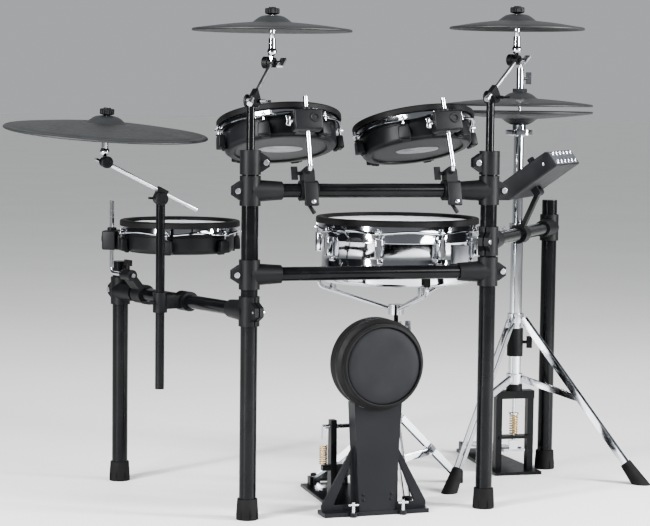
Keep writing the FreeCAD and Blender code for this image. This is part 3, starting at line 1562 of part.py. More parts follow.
for side in (-1, 1):
    gusset = padded([
        (stay_inner * side, kick.base_thickness),
        (stay_outer * side, kick.base_thickness),
        (stay_outer * side, kick.base_thickness + window),
        (stay_inner * side, kick.stay_top),
    ], kick.stay_thickness, "XZ_Plane")
    pocketed(gusset, [
        ((kick.foot_width / 2 + window) * side, kick.base_thickness + window),
        ((stay_outer - window * 2) * side, kick.base_thickness + window),
        ((kick.foot_width / 2 + window) * side, kick.stay_top - kick.stay_inset * 2),
    ], "XZ_Plane", kick.stay_thickness + fit.overrun)
    tower_items.append(placed(gusset, at(0, panel_middle, 0)))
spike_holes = []
spikes = []
for side in (-1, 1):
    spot = at(side * kick.spike_spread / 2, kick.panel_front - kick.spike_radius * 2, 0)
    tower_items.append(cylinder(kick.spike_radius * 2, kick.base_thickness, spot))
    spike_holes.append(cylinder(kick.spike_radius + fit.snug, kick.base_thickness + fit.overrun * 2,
                                spot * at(0, 0, -fit.overrun)))
    spikes.append(fused([
        cylinder(kick.spike_radius, kick.spike_height, spot),
        cylinder(kick.spike_grip_radius, kick.spike_handle,
                 spot * at(-kick.spike_handle / 2, 0, kick.spike_height - kick.spike_grip_radius * 2, ALONG_X)),
    ]))
sub_part("kick_tower", together([cut(fused(tower_items), spike_holes)] + spikes), kick_place)

# Pad: a stepped drum with a bare disc in its front rim, turned about the strike axis
depth = kick.pad_back - kick.pad_front
sub_part("kick_pad", turned([
    (0, kick.disc_sink),
    (kick.disc_radius, kick.disc_sink),
    (kick.disc_radius, 0),
    (kick.rim_radius, 0),
    (kick.rim_radius + kick.rim_lip, kick.rim_lip),
    (kick.rim_radius + kick.rim_lip, kick.rim_step),
    (kick.pad_radius, kick.rim_step + kick.rim_lip),
    (kick.pad_radius, depth - kick.back_inset),
    (kick.pad_radius - kick.back_inset, depth),
    (0, depth),
    (0, depth - kick.core_wall),
    (kick.pad_radius - kick.core_wall, depth - kick.core_wall),
    (kick.pad_radius - kick.core_wall, kick.rim_step + kick.core_wall),
    (0, kick.rim_step),
]), kick_place * at(0, kick.pad_front, kick.pad_level, ALONG_Y))

# Pedal frame: a tapering base plate, two posts for the axle and the ears of the heel hinge
plate_front = panel_middle + kick.base_depth / 2 + kick.plate_gap
plate_end = plate_front + kick.plate_length
frame_items = [padded([
    (-kick.plate_toe, plate_front),
    (kick.plate_toe, plate_front),
    (kick.plate_heel, plate_end),
    (-kick.plate_heel, plate_end),
], kick.plate_thickness, "XY_Plane", Placement(), False)]
post_top = kick.axle_level + kick.axle_radius * 3
axle_holes = [cylinder(kick.axle_radius + fit.running, kick.post_spread * 2,
                       at(-kick.post_spread, kick.axle_y, kick.axle_level, ALONG_X))]
for side in (-1, 1):
    half = kick.post_depth / 2
    slim = kick.post_top_depth / 2
    frame_items.append(padded([
        (-half, kick.plate_thickness / 2),
        (half, kick.plate_thickness / 2),
        (slim, post_top),
        (-slim, post_top),
    ], kick.post_width, "YZ_Plane", at(side * kick.post_spread / 2, kick.axle_y, 0)))
    ear_height = kick.heel_level + kick.barrel_radius - kick.plate_thickness / 2
    frame_items.append(box(kick.ear_width, kick.ear_depth, ear_height,
                           at(side * (kick.board_heel_width / 2 + kick.ear_width / 2 + fit.face), kick.heel,
                              kick.plate_thickness / 2)))
bracket_x = -kick.axle_left + kick.arm_thickness / 2
bracket_length = kick.axle_left - kick.post_spread / 2
frame_items.append(box(bracket_length, kick.bracket_width, kick.bracket_height,
                       at(-kick.axle_left + bracket_length / 2, kick.axle_y,
                          kick.spring_foot - kick.spring_wire - kick.spring_radius - kick.bracket_height)))
pin_length = kick.board_heel_width + kick.ear_width
heel_pin = cylinder(kick.barrel_pin, pin_length, at(-pin_length / 2, kick.heel, kick.heel_level, ALONG_X))
sub_part("kick_pedal_frame", fused([cut(fused(frame_items), axle_holes), heel_pin]), kick_place)

# Axle with the cam, the beater on its shaft, and the lever that the spring pulls
axle = at(0, kick.axle_y, kick.axle_level)
swing = Placement(Vector(), Rotation(X_AXIS, -kick.beater_angle))
head_middle = at(0, 0, kick.beater_reach)
beater_items = [
    cylinder(kick.axle_radius, kick.axle_left + kick.axle_right, at(-kick.axle_left, 0, 0, ALONG_X)),
    cylinder(kick.hub_radius, kick.hub_width, at(-kick.hub_width / 2, 0, 0, ALONG_X)),
    cylinder(kick.cam_radius, kick.cam_width, at(-kick.cam_width / 2, 0, 0, ALONG_X)),
    cylinder(kick.shaft_radius, kick.shaft_length, swing),
    cylinder(kick.beater_radius, kick.beater_length,
             swing * head_middle * at(0, -kick.beater_length / 2, 0, ALONG_Y)),
    box(kick.arm_thickness, kick.arm_width, kick.arm_length,
        at(bracket_x, 0, -kick.arm_length)),
]
sub_part("kick_beater", fused(beater_items), kick_place * axle)
pivot("kick_beater_swing", (kick_place * axle).Base, kick_place.Rotation.multVec(X_AXIS))

# Spring from the lever's end down to the bracket on the left post
sub_part("kick_spring", helical_spring(kick.spring_radius, kick.spring_wire, kick.spring_height,
                                       kick.spring_turn_count),
         kick_place * at(bracket_x, kick.axle_y, kick.spring_foot - kick.spring_radius))

# Footboard, hinged at the heel, and the strap from its toe to the cam
toe_y = kick.axle_y + kick.cam_radius - kick.strap_thickness
board_run = kick.heel - toe_y
board_length = Size(math.hypot(kick.board_rise, board_run), "sqrt(%s^2 + %s^2)" % (
    kick.board_rise.formula, board_run.formula))
board_angle = math.degrees(math.atan2(kick.board_rise, board_run))
board = padded([
    (-kick.board_width / 2, -board_length),
    (kick.board_width / 2, -board_length),
    (kick.board_heel_width / 2, -kick.ear_depth),
    (kick.board_heel_width / 2, 0),
    (-kick.board_heel_width / 2, 0),
    (-kick.board_heel_width / 2, -kick.ear_depth),
], kick.board_thickness)
rib_step = board_length / (kick.rib_count + 1)
ribs = [box(kick.board_heel_width - kick.rib_width * 2, kick.rib_width, kick.rib_height,
            at(0, -rib_step * (n + 1), kick.board_thickness / 2)) for n in range(int(kick.rib_count))]
barrel = cylinder(kick.barrel_radius, kick.board_heel_width, at(-kick.board_heel_width / 2, 0, 0, ALONG_X))
barrel_bore = cylinder(kick.barrel_pin + fit.running, kick.board_heel_width + fit.overrun * 2,
                       at(-kick.board_heel_width / 2 - fit.overrun, 0, 0, ALONG_X))
heel_spot = at(0, kick.heel, kick.heel_level)
sub_part("kick_footboard", cut(fused([board, barrel] + ribs), [barrel_bore]),
         kick_place * heel_spot * Placement(Vector(), Rotation(X_AXIS, -board_angle)))
pivot("kick_pedal", (kick_place * heel_spot).Base, kick_place.Rotation.multVec(X_AXIS))
strap_y = kick.axle_y + kick.cam_radius + fit.face + kick.strap_thickness / 2
strap_foot = kick.heel_level + kick.board_rise * (kick.heel - strap_y) / board_run + kick.board_thickness / 2
sub_part("kick_strap", box(kick.strap_width, kick.strap_thickness,
                           kick.axle_level - strap_foot - fit.face * 4),
         kick_place * at(-kick.strap_width / 2, strap_y - kick.strap_thickness / 2, strap_foot + fit.face * 4))

# Sound module on the right wing: a tilted slab with its sockets along the high edge
MODULE = {
    "along": 278.0,
    "out": -45.0,
    "level": 722.0,
    "tilt_angle": 36.0,
    "length": 230.0,
    "width": 168.0,
    "thickness": 44.0,
    "nose": 26.0,
    "chamfer": 6.0,
    "corner": 5.0,
    "hinge_shift": 14.0,
    "hinge_drop": 12.5,
    "barrel_radius": 8.0,
    "barrel_width": 24.0,
    "pin_radius": 4.0,
    "ear_width": 9.0,
    "ear_depth": 17.0,
    "post_width": 22.0,
    "post_thickness": 10.0,
    "grip_width": 40.0,
    "jack_count": 6,
    "jack_radius": 5.5,
    "jack_bore": 3.3,
    "jack_rise": 2.0,
    "jack_depth": 14.0,
    "jack_step": 34.0,
    "screen_length": 84.0,
    "screen_width": 46.0,
    "screen_rise": 1.6,
    "screen_y": -30.0,
    "dial_radius": 19.0,
    "dial_height": 13.0,
    "dial_x": 72.0,
    "dial_y": -28.0,
    "shaft_radius": 3.0,
    "shaft_depth": 6.0,
    "knob_radius": 8.5,
    "knob_height": 12.0,
    "knob_x": -84.0,
    "knob_y": -34.0,
    "button_length": 15.0,
    "button_width": 8.0,
    "button_rise": 3.0,
    "button_depth": 4.0,
    "button_well": 7.0,
    "button_step": 27.0,
    "button_count": 7,
    "button_y": 22.0,
    "button_row": 22.0,
}
mod = on_sheet("module", MODULE)

module_hinge = at(mod.along, mod.out, mod.level)
wing("right_wing", right_wing, rack.right_bar, rack.right_top, [])

# Bracket: a clamp round the bar and a slanting post to the hinge barrel under the module
grip_radius = rack.bar_radius + grips.grip_wall
bar_spot = Vector(mod.along, 0, rack.right_bar)
lean = module_hinge.Base - bar_spot
post = strip_between(mod.post_width, mod.post_thickness, bar_spot, module_hinge.Base,
                     Vector(0, lean.z, -lean.y))
length = mod.grip_width + fit.overrun * 2
bracket = cut(fused([
    cylinder(grip_radius, mod.grip_width, at(mod.along - mod.grip_width / 2, 0, rack.right_bar, ALONG_X)),
    cut(post, [cylinder(mod.barrel_radius, mod.post_width + fit.overrun * 2,
                        module_hinge * at(-mod.post_width / 2 - fit.overrun, 0, 0, ALONG_X))]),
    cylinder(mod.barrel_radius, mod.barrel_width, module_hinge * at(-mod.barrel_width / 2, 0, 0, ALONG_X)),
]), [
    cylinder(rack.bar_radius + fit.snug, length, at(mod.along - length / 2, 0, rack.right_bar, ALONG_X)),
    cylinder(mod.pin_radius + fit.running, mod.barrel_width + fit.overrun * 2,
             module_hinge * at(-mod.barrel_width / 2 - fit.overrun, 0, 0, ALONG_X)),
])
screw_spot = at(mod.along, grip_radius, rack.right_bar, ALONG_Y)
sub_part("module_bracket", together([bracket, wing_screw(screw_spot)]), right_wing)
pivot("module_tilt", (right_wing * module_hinge).Base, right_wing.Rotation.multVec(X_AXIS))

# Case: a slab that thins towards its low edge, with sockets, screen and button wells
half_width = mod.width / 2
half_thick = mod.thickness / 2
case = padded([
    (-half_width, -half_thick),
    (half_width - mod.nose, -half_thick),
    (half_width, half_thick - mod.nose),
    (half_width, half_thick - mod.chamfer),
    (half_width - mod.chamfer, half_thick),
    (-half_width + mod.chamfer, half_thick),
    (-half_width, half_thick - mod.chamfer),
], mod.length, "YZ_Plane")
rounded(case, mod.corner, lambda edge: edge.Length > mod.thickness and abs(edge.BoundBox.XLength) < fit.snug)
joined = [case, box(mod.screen_length, mod.screen_width, mod.screen_rise, at(0, mod.screen_y, half_thick))]
opened = []
for row in (-1, 1):
    for n in range(int(mod.jack_count)):
        spot = at((n - (mod.jack_count - 1) / 2) * mod.jack_step, -half_width,
                  row * mod.thickness / 4, Rotation(X_AXIS, 90))
        joined.append(cylinder(mod.jack_radius, mod.jack_rise + fit.overrun, spot * at(0, 0, -fit.overrun)))
        opened.append(cylinder(mod.jack_bore, mod.jack_depth + fit.overrun, spot * at(0, 0, -mod.jack_depth)))
ear_gap = mod.barrel_width / 2 + fit.face
ear_tall = mod.hinge_drop + fit.overrun
for side in (-1, 1):
    ear_x = side * (ear_gap + mod.ear_width / 2)
    hinge_level = -half_thick - mod.hinge_drop
    joined.append(box(mod.ear_width, mod.ear_depth, ear_tall, at(ear_x, mod.hinge_shift, hinge_level)))
    joined.append(cylinder(mod.ear_depth / 2, mod.ear_width,
                           at(ear_x - mod.ear_width / 2, mod.hinge_shift, hinge_level, ALONG_X)))
button_spots = []
for row in range(2):
    for n in range(int(mod.button_count)):
        button_spots.append(at((n - (mod.button_count - 1) / 2) * mod.button_step,
                               mod.button_y + row * mod.button_row, half_thick))
for spot in button_spots:
    opened.append(box(mod.button_length + fit.face * 2, mod.button_width + fit.face * 2,
                      mod.button_well + fit.overrun, spot * at(0, 0, -mod.button_well)))
dial_spot = at(mod.dial_x, mod.dial_y, half_thick)
knob_spot = at(mod.knob_x, mod.knob_y, half_thick)
for spot in (dial_spot, knob_spot):
    opened.append(cylinder(mod.shaft_radius + fit.running, mod.shaft_depth + fit.overrun,
                           spot * at(0, 0, -mod.shaft_depth - fit.face)))
pin_length = mod.barrel_width + mod.ear_width
tilt_pin = cylinder(mod.pin_radius, pin_length,
                    at(-pin_length / 2, mod.hinge_shift, -half_thick - mod.hinge_drop, ALONG_X))
module_place = right_wing * module_hinge * Placement(Vector(), Rotation(X_AXIS, -mod.tilt_angle))
module_place = module_place * at(0, -mod.hinge_shift, half_thick + mod.hinge_drop)
sub_part("module_case", fused([cut(fused(joined), opened), tilt_pin]), module_place)


def rotary(radius, height):
    """A knob on its shaft, standing just clear of the panel."""
    return turned([
        (0, -mod.shaft_depth),
        (mod.shaft_radius, -mod.shaft_depth),
        (mod.shaft_radius, fit.face),
        (radius, fit.face),
        (radius, height - mod.screen_rise),
        (radius - mod.screen_rise, height),
        (0, height),
    ])


sub_part("module_dial", rotary(mod.dial_radius, mod.dial_height), module_place * dial_spot)
sub_part("module_knob", rotary(mod.knob_radius, mod.knob_height), module_place * knob_spot)
sub_part("module_buttons", together([
    box(mod.button_length, mod.button_width, mod.button_rise + mod.button_depth,
        spot * at(0, 0, -mod.button_depth)) for spot in button_spots]), module_place)
panel_up = module_place.Rotation.multVec(Z_AXIS)
pivot("module_dial_turn", (module_place * dial_spot).Base, panel_up)
pivot("module_knob_turn", (module_place * knob_spot).Base, panel_up)
pivot("module_buttons_press", (module_place * button_spots[0]).Base, panel_up)


# Check every object, then write each sub-part
doc.recompute()
faults = [item.Label for item in doc.Objects if set(item.State) & {"Invalid", "Error"}]
for label, item in sub_parts:
    if item.Shape.isNull() or not item.Shape.isValid() or not item.Shape.Solids:
        faults.append(label)
if faults:
    raise RuntimeError("failed: " + ", ".join(faults))
for name, point, direction in pivots:
    print("pivot %s at %.3f %.3f %.3f along %.5f %.5f %.5f" % ((name,) + tuple(point) + tuple(direction)))
os.makedirs("parts", exist_ok=True)
for label, item in sub_parts:
    item.Shape.exportStep("parts/%s.step" % label)
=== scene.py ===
import json
import math

import bpy
from bpy.props import FloatProperty, FloatVectorProperty, PointerProperty
from mathutils import Matrix, Quaternion, Vector


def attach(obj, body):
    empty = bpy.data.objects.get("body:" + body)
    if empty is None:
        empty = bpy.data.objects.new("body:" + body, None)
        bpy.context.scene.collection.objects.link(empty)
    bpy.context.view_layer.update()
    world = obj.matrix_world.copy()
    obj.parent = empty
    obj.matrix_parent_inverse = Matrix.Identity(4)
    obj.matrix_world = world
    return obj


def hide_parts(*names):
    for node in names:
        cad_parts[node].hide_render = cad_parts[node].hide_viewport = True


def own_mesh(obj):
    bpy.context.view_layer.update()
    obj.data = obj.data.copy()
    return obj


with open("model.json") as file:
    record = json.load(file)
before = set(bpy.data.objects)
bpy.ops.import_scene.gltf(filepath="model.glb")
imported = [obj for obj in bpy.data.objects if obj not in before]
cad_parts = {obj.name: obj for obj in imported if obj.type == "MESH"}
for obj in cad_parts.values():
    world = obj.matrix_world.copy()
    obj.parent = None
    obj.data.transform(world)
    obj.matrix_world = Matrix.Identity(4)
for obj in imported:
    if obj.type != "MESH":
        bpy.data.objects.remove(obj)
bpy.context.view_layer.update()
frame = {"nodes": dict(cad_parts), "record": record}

bl_info = {
    "name": "Electronic Drum Kit",
    "version": (1, 0, 0),
    "blender": (4, 5, 0),
    "location": "View3D > Sidebar > Drum Kit",
    "description": "Dresses the packed drum kit with its pads, hoops, shells, stands and stage",
    "category": "Object",
}

# Sizes below are in millimetres, as on the drawings; MM turns them into metres
MM = 0.001
NODES = frame["nodes"]
BEHAVIOUR = frame["record"]["behaviour"]
BODY_OF = {node: body for body, nodes in BEHAVIOUR["bodies"].items() for node in nodes}
HINGES = {joint["name"]: joint for joint in BEHAVIOUR["joints"] if joint["type"] == "hinge"}

# Where each lathed or boxed piece stands: its origin, and its turn as a quaternion
PLACES = {
    "crash_left": ((-240.942, -7.151, 1119.08), (1, 0, 0, 0)),
    "crash_right": ((320.117, 143.447, 1134.08), (1, 0, 0, 0)),
    "ride": ((-615.26, 40.006, 890.087), (0.99904, 0.031396, 0.030523, -0.000959)),
    "hihat_bottom": ((366, 545, 886.5), (0, 1, 0, 0)),
    "hihat_top": ((366, 545, 955.5), (1, 0, 0, 0)),
    "tom_left": ((-226.909, 125.018, 885.871), (-0.978781, 0.141916, 0.02121, -0.14628)),
    "tom_right": ((87.05, 220.519, 884.302), (0.977444, -0.136725, -0.055356, 0.151143)),
    "floor_tom": ((-467.117, 321.992, 637), (-0.649448, 0, 0, 0.760406)),
    "snare": ((55, 270, 654), (0.997564, 0, 0, 0.069756)),
    "kick": ((0, 0, 0), (0.986286, 0, 0, 0.165048)),
    "kick_pad": ((20.185, -58.622, 345), (-0.697409, 0.697409, 0.116706, -0.116706)),
    "module": ((387.525, 328.709, 758.14), (-0.780485, 0.253595, 0.176582, -0.543462)),
}
RACK_TOMS = ("tom_left", "tom_right")
TOMS = (*RACK_TOMS, "floor_tom")

# Shell radius and number of key bolts of a tom and of the snare
TOM_RADIUS = 130.0
TOM_BOLTS = 6
SNARE_RADIUS = 180.0
SNARE_BOLTS = 8
# How far the key bolts stand outside a shell
BOLT_OUT = 15.3
# Name, radius and bow of the pads on arms, and radius and bow of both hi-hat pads
CYMBALS = (("crash_left", 180.0, 13.0), ("crash_right", 156.0, 13.0), ("ride", 232.0, 17.0))
HIHAT_PAD = (183.0, 12.0)
# Levels between which the hi-hat's height collar and its screw lie
COLLAR_LEVELS = (297, 369)
# What stands on the floor and ends below this level is a shoe
SHOE_HEIGHT = 60
# Lean of a rack tom's clamp on its bar, in degrees
CLAMP_LEAN = -16.5
# A clamp's solid is its casting above the first diagonal, and a wing screw above the second
CASTING_SPAN = 60
SCREW_SPAN = 40.5
# Edges sharper than this are broken
EDGE_ANGLE = math.radians(40.0)
# Mirror of black mouldings and coats, which is lower than that of clear plastic
BLACK_SHINE = 0.2
# Length of one wave of the wave texture at scale 1
WAVE = math.tau / 20


def shift(x, y, z):
    return Matrix.Translation(Vector((x, y, z)) * MM)


def rotation(axis, degrees):
    return Matrix.Rotation(math.radians(degrees), 4, axis)


def place_of(name):
    spot, turn = PLACES[name]
    return shift(*spot) @ Quaternion(turn).to_matrix().to_4x4()


# Finishes

def linear(colour):
    """An sRGB hex colour, or a colour from the panel that is linear already, as a socket takes it."""
    if not isinstance(colour, str):
        return [*colour, 1.0]
    channels = [int(colour[i:i + 2], 16) / 255 for i in (1, 3, 5)]
    return [c / 12.92 if c <= 0.04045 else ((c + 0.055) / 1.055) ** 2.4 for c in channels] + [1.0]


def colour_setting(name, description, hex_code):
    return FloatVectorProperty(name=name, description=description, default=linear(hex_code)[:3], size=3,
                               min=0.0, max=1.0, subtype="COLOR")


def length_setting(name, description, size_mm, least_mm, most_mm):
    return FloatProperty(name=name, description=description, default=size_mm * MM, min=least_mm * MM,
                         max=most_mm * MM, unit="LENGTH", precision=4)


def power_setting(name, description, watts, most):
    return FloatProperty(name=name, description=description, default=watts, min=0.0, max=most, unit="POWER")


def add(tree, kind, inputs=None, **settings):
    """One shader node with its settings, and its inputs as values or as links."""
    item = tree.nodes.new("ShaderNode" + kind)
    for key, value in settings.items():
        setattr(item, key, value)
    for key, value in (inputs or {}).items():
        if isinstance(value, bpy.types.NodeSocket):
            tree.links.new(value, item.inputs[key])
        else:
            item.inputs[key].default_value = value
    return item


def blank(name, **values):
    """A new material, its tree and its one surface shader, with plain socket values set on it."""
    material = bpy.data.materials.new(name)
    material.use_nodes = True
    tree = material.node_tree
    shader = tree.nodes["Principled BSDF"]
    for key, value in values.items():
        shader.inputs[key.replace("_", " ")].default_value = value
    return material, tree, shader


def noise(tree, coords, size_mm, detail):
    item = add(tree, "TexNoise", {"Vector": coords, "Scale": 1 / (size_mm * MM), "Detail": detail})
    return item.outputs["Fac"]


def wave(tree, coords, length_mm, **settings):
    """Even waves of the given length."""
    inputs = {"Vector": coords, "Scale": WAVE / (length_mm * MM), "Distortion": 0.0, "Detail": 0.0}
    return add(tree, "TexWave", inputs, **settings).outputs["Fac"]


def ramp(tree, value, *stops):
    """A blend of two colours over a value, each given with its position."""
    item = add(tree, "ValToRGB", {"Fac": value})
    for element, (position, colour) in zip(item.color_ramp.elements, stops):
        element.position = position
        element.color = colour
    return item.outputs["Color"]


def blend(tree, share, first, second):
    mix = add(tree, "Mix", {"Factor": share, "A": first, "B": second}, data_type="RGBA")
    return mix.outputs["Result"]


def bumped(tree, shader, height, depth_mm, strength):
    """Lets a height ruffle the surface, depth_mm deep."""
    bump = add(tree, "Bump", {"Height": height, "Distance": depth_mm * MM, "Strength": strength})
    tree.links.new(bump.outputs["Normal"], shader.inputs["Normal"])


def grain(tree, shader, coords, size_mm, depth_mm, detail=3.0, strength=0.6):
    """Bump from even noise whose features are size_mm wide and depth_mm deep."""
    bumped(tree, shader, noise(tree, coords, size_mm, detail), depth_mm, strength)


def vary(tree, coords, size_mm, low, high, detail=2.0):
    """A slow change between two colours or two numbers over patches of the given size."""
    patches = noise(tree, coords, size_mm, detail)
    if isinstance(low, (int, float)):
        return add(tree, "MapRange", {"Value": patches, "From Min": 0.3, "From Max": 0.7,
                                      "To Min": low, "To Max": high}).outputs["Result"]
    return ramp(tree, patches, (0.35, low), (0.65, high))


def object_coords(tree):
    return add(tree, "TexCoord").outputs["Object"]


def own_coords(tree):
    """The piece's own drawing coordinates, kept in an attribute before it was put in place."""
    return add(tree, "Attribute", attribute_name="drawn").outputs["Vector"]


def moulded(name, dark, light, rough, grain_mm, depth_mm, patch_mm=60.0):
    """Moulded or coated surface: close colour drift, uneven gloss, a fine grain and a low mirror."""
    material, tree, shader = blank(name, Specular_IOR_Level=BLACK_SHINE)
    coords = object_coords(tree)
    tree.links.new(vary(tree, coords, patch_mm, linear(dark), linear(light)), shader.inputs["Base Color"])
    tree.links.new(vary(tree, coords, patch_mm / 3, rough - 0.03, rough + 0.03), shader.inputs["Roughness"])
    grain(tree, shader, coords, grain_mm, depth_mm)
    return material


def metal(name, colour, smooth, smudged, patch_mm=25.0):
    """Polished or drawn metal, with faint handling marks that only change its gloss."""
    material, tree, shader = blank(name, Metallic=1.0, Base_Color=linear(colour))
    coords = object_coords(tree)
    tree.links.new(vary(tree, coords, patch_mm, smooth, smudged, 5.0), shader.inputs["Roughness"])
    grain(tree, shader, coords, 18.0, 0.02, 1.0, 0.35)
    return material


def ringed_rubber(name, dark, light, ring_mm, depth_mm):
    """Moulded rubber with turned rings about its own axis, wider apart than real ones so that they show."""
    material, tree, shader = blank(name)
    coords = own_coords(tree)
    tree.links.new(vary(tree, coords, 45.0, linear(dark), linear(light)), shader.inputs["Base Color"])
    tree.links.new(vary(tree, coords, 12.0, 0.50, 0.58), shader.inputs["Roughness"])
    rings = wave(tree, coords, ring_mm, wave_type="RINGS", rings_direction="Z")
    height = add(tree, "Math", {0: rings, 1: noise(tree, coords, 0.9, 2.0)}, operation="ADD")
    bumped(tree, shader, height.outputs["Value"], depth_mm, 0.5)
    return material


def woven(name, thread, hole, thread_mm, rough):
    """Plain weave: two sets of threads at right angles, coarser than the real cloth so that it shows."""
    material, tree, shader = blank(name, Roughness=rough, Sheen_Weight=0.3)
    coords = own_coords(tree)
    warp, weft = [wave(tree, coords, thread_mm, wave_type="BANDS", bands_direction=way) for way in ("X", "Y")]
    cloth = add(tree, "Math", {0: warp, 1: weft}, operation="MULTIPLY").outputs["Value"]
    tree.links.new(blend(tree, cloth, linear(hole), linear(thread)), shader.inputs["Base Color"])
    bumped(tree, shader, cloth, 0.25, 0.5)
    return material


def dotted(name, dark, dot, step_mm):
    """Moulded disc with a close grid of round dimples."""
    material, tree, shader = blank(name, Roughness=0.5)
    coords = own_coords(tree)
    spots = add(tree, "TexVoronoi", {"Vector": coords, "Scale": 1 / (step_mm * MM), "Randomness": 0.0},
                voronoi_dimensions="2D")
    edge = add(tree, "MapRange", {"Value": spots.outputs["Distance"], "From Min": 0.22, "From Max": 0.34})
    edge = edge.outputs["Result"]
    tree.links.new(blend(tree, edge, linear(dot), linear(dark)), shader.inputs["Base Color"])
    bumped(tree, shader, edge, 0.5, 0.6)
    return material


FINISH = {}


def mix_finishes(colours, ring_mm):
    # Powder coat: satin black with the faint orange peel of baked powder
    FINISH["tube"] = moulded("powder_coated_tube", colours.tube_dark, colours.tube_light, 0.17, 1.6, 0.005)
    # Glass-filled nylon: even, slightly grainy black
    FINISH["clamp"] = moulded("nylon_moulding", "#0d0e0f", "#151618", 0.46, 0.7, 0.06)
    # Rubber: dull and a little dusty
    FINISH["rubber"] = moulded("black_rubber", "#0f0f10", "#171718", 0.74, 0.9, 0.08)
    # Chrome plate: mirror bright with faint smudges
    FINISH["chrome"] = metal("chrome_plate", "#c6c8cc", 0.05, 0.11)
    # Satin steel of the cymbal booms: fine-ground, then plated
    FINISH["boom"] = metal("satin_plated_steel", "#d2d4d8", 0.28, 0.36, 20.0)
    # Zinc-plated steel of bolts and spikes: bright but less sharp than chrome
    FINISH["bolt"] = metal("zinc_plated_steel", "#c9ccd1", 0.18, 0.30, 8.0)
    # Cast aluminium pedals: fine-blasted, soft silver
    FINISH["pedal"] = metal("blasted_aluminium", "#b9bcc1", 0.30, 0.44, 14.0)
    # Spring wire: drawn steel with a brass-coloured passivation
    FINISH["spring"] = metal("passivated_spring_wire", "#c6a45c", 0.20, 0.32, 6.0)
    # Cymbal pad: moulded rubber with turned rings
    FINISH["cymbal"] = ringed_rubber("ringed_pad_rubber", colours.pad_dark, colours.pad_light, ring_mm, 0.22)
    # Drum head: woven polyester mesh
    FINISH["mesh"] = woven("woven_mesh_head", colours.head, "#c3c7cb", 10.053, 0.7)
    # Drum rim: soft black rubber over the hoop
    FINISH["rim"] = moulded("soft_rim_rubber", "#101011", "#19191a", 0.6, 1.0, 0.06)
    # Tom shell: black ABS, moulded with a low gloss
    FINISH["shell"] = moulded("abs_shell", "#121315", "#191a1c", 0.42, 1.2, 0.04)
    # Underside of a tom: black ABS with small grey dimples
    FINISH["dots"] = dotted("dimpled_abs", "#1b1c1e", "#3a3c40", 4.2)
    # Bare oval plate on the underside: smoother grey moulding
    FINISH["plate"] = moulded("plain_grey_plate", "#808286", "#8a8c90", 0.34, 0.8, 0.02, 20.0)
    # Wool felt washers
    FINISH["felt"] = moulded("wool_felt", "#1f1f21", "#333336", 0.9, 0.6, 0.25, 6.0)
    # Painted steel of the kick tower and pedal frames: semi-gloss black
    FINISH["frame"] = moulded("semi_gloss_paint", "#0c0d0e", "#101113", 0.30, 2.2, 0.02)
    # Front panel of the kick tower: satin dark grey paint over pressed steel
    FINISH["tower"] = moulded("satin_grey_paint", "#18191c", "#1c1d20", 0.38, 1.4, 0.02, 90.0)
    # Kick pad's striking face: closely stippled rubber cloth
    FINISH["kick_face"] = moulded("stippled_kick_face", "#1b1c1f", "#202124", 0.6, 1.1, 0.16)
    # Underside of a cymbal pad: a smoother black moulding, its colour made darker than the top's as painted
    # shade
    FINISH["under"] = moulded("smooth_pad_underside_painted_shade", "#0e0f10", "#131415", 0.42, 1.0, 0.03)
    # Strap of the kick pedal: black webbing
    FINISH["strap"] = woven("woven_strap", "#2b2c2f", "#101011", 7.54, 0.8)
    # Module: dark grey ABS, spark-eroded texture
    FINISH["case"] = moulded("spark_eroded_abs", "#191a1c", "#212225", 0.5, 0.6, 0.08)
    # Volume knob: satin black moulding
    FINISH["panel"] = moulded("satin_panel", "#17181b", "#1f2023", 0.34, 0.9, 0.03)
    # Panel round the sockets: a paler satin moulding
    FINISH["jack_panel"] = moulded("pale_socket_panel", "#3b3d41", "#434549", 0.42, 0.9, 0.04)
    # Keys and dial: grey silicone
    FINISH["key"] = moulded("silicone_key", "#6a6c70", "#7d8085", 0.55, 0.8, 0.03, 15.0)
    # Screen: dark, polished glass
    FINISH["screen"] = moulded("screen_glass", "#0b0d11", "#12151b", 0.08, 8.0, 0.005)


# Modelling

def only(obj):
    """Makes obj the one selected and active object."""
    bpy.ops.object.select_all(action="DESELECT")
    obj.select_set(True)
    bpy.context.view_layer.objects.active = obj


def edit(obj, mode="VERT"):
    only(obj)
    bpy.ops.object.mode_set(mode="EDIT")
    bpy.ops.mesh.select_mode(type=mode)
    bpy.ops.mesh.select_all(action="SELECT")


def leave():
    bpy.ops.object.mode_set(mode="OBJECT")


def modified(obj, kind, **settings):
    """Adds a modifier and applies it."""
    only(obj)
    item = obj.modifiers.new(kind.title(), kind)
    for key, value in settings.items():
        setattr(item, key, value)
    bpy.ops.object.modifier_apply(modifier=item.name)
    return obj


def smooth(obj, angle=35.0):
    only(obj)
    bpy.ops.object.shade_smooth_by_angle(angle=math.radians(angle))
    return obj


def lathe(name, profile, steps=72):
    """A profile of (radius, height) in millimetres, extruded point by point and spun about Z."""
    bpy.ops.object.select_all(action="DESELECT")
    bpy.ops.mesh.primitive_plane_add(size=MM)
    obj = bpy.context.object
    obj.name = name
    edit(obj)
    bpy.ops.mesh.merge(type="CENTER")
    here = Vector((0, 0, 0))
    for n, (radius, height) in enumerate(profile):
        there = Vector((radius, 0, height)) * MM
        if n == 0:
            bpy.ops.transform.translate(value=there)
        else:
            bpy.ops.mesh.extrude_vertices_move(TRANSFORM_OT_translate={"value": there - here})
        here = there
    bpy.ops.mesh.select_all(action="SELECT")
    bpy.ops.mesh.spin(steps=steps, angle=math.tau, center=(0, 0, 0), axis=(0, 0, 1))
    bpy.ops.mesh.select_all(action="SELECT")
    bpy.ops.mesh.remove_doubles(threshold=0.01 * MM)
    bpy.ops.mesh.normals_make_consistent(inside=False)
    leave()
    return obj


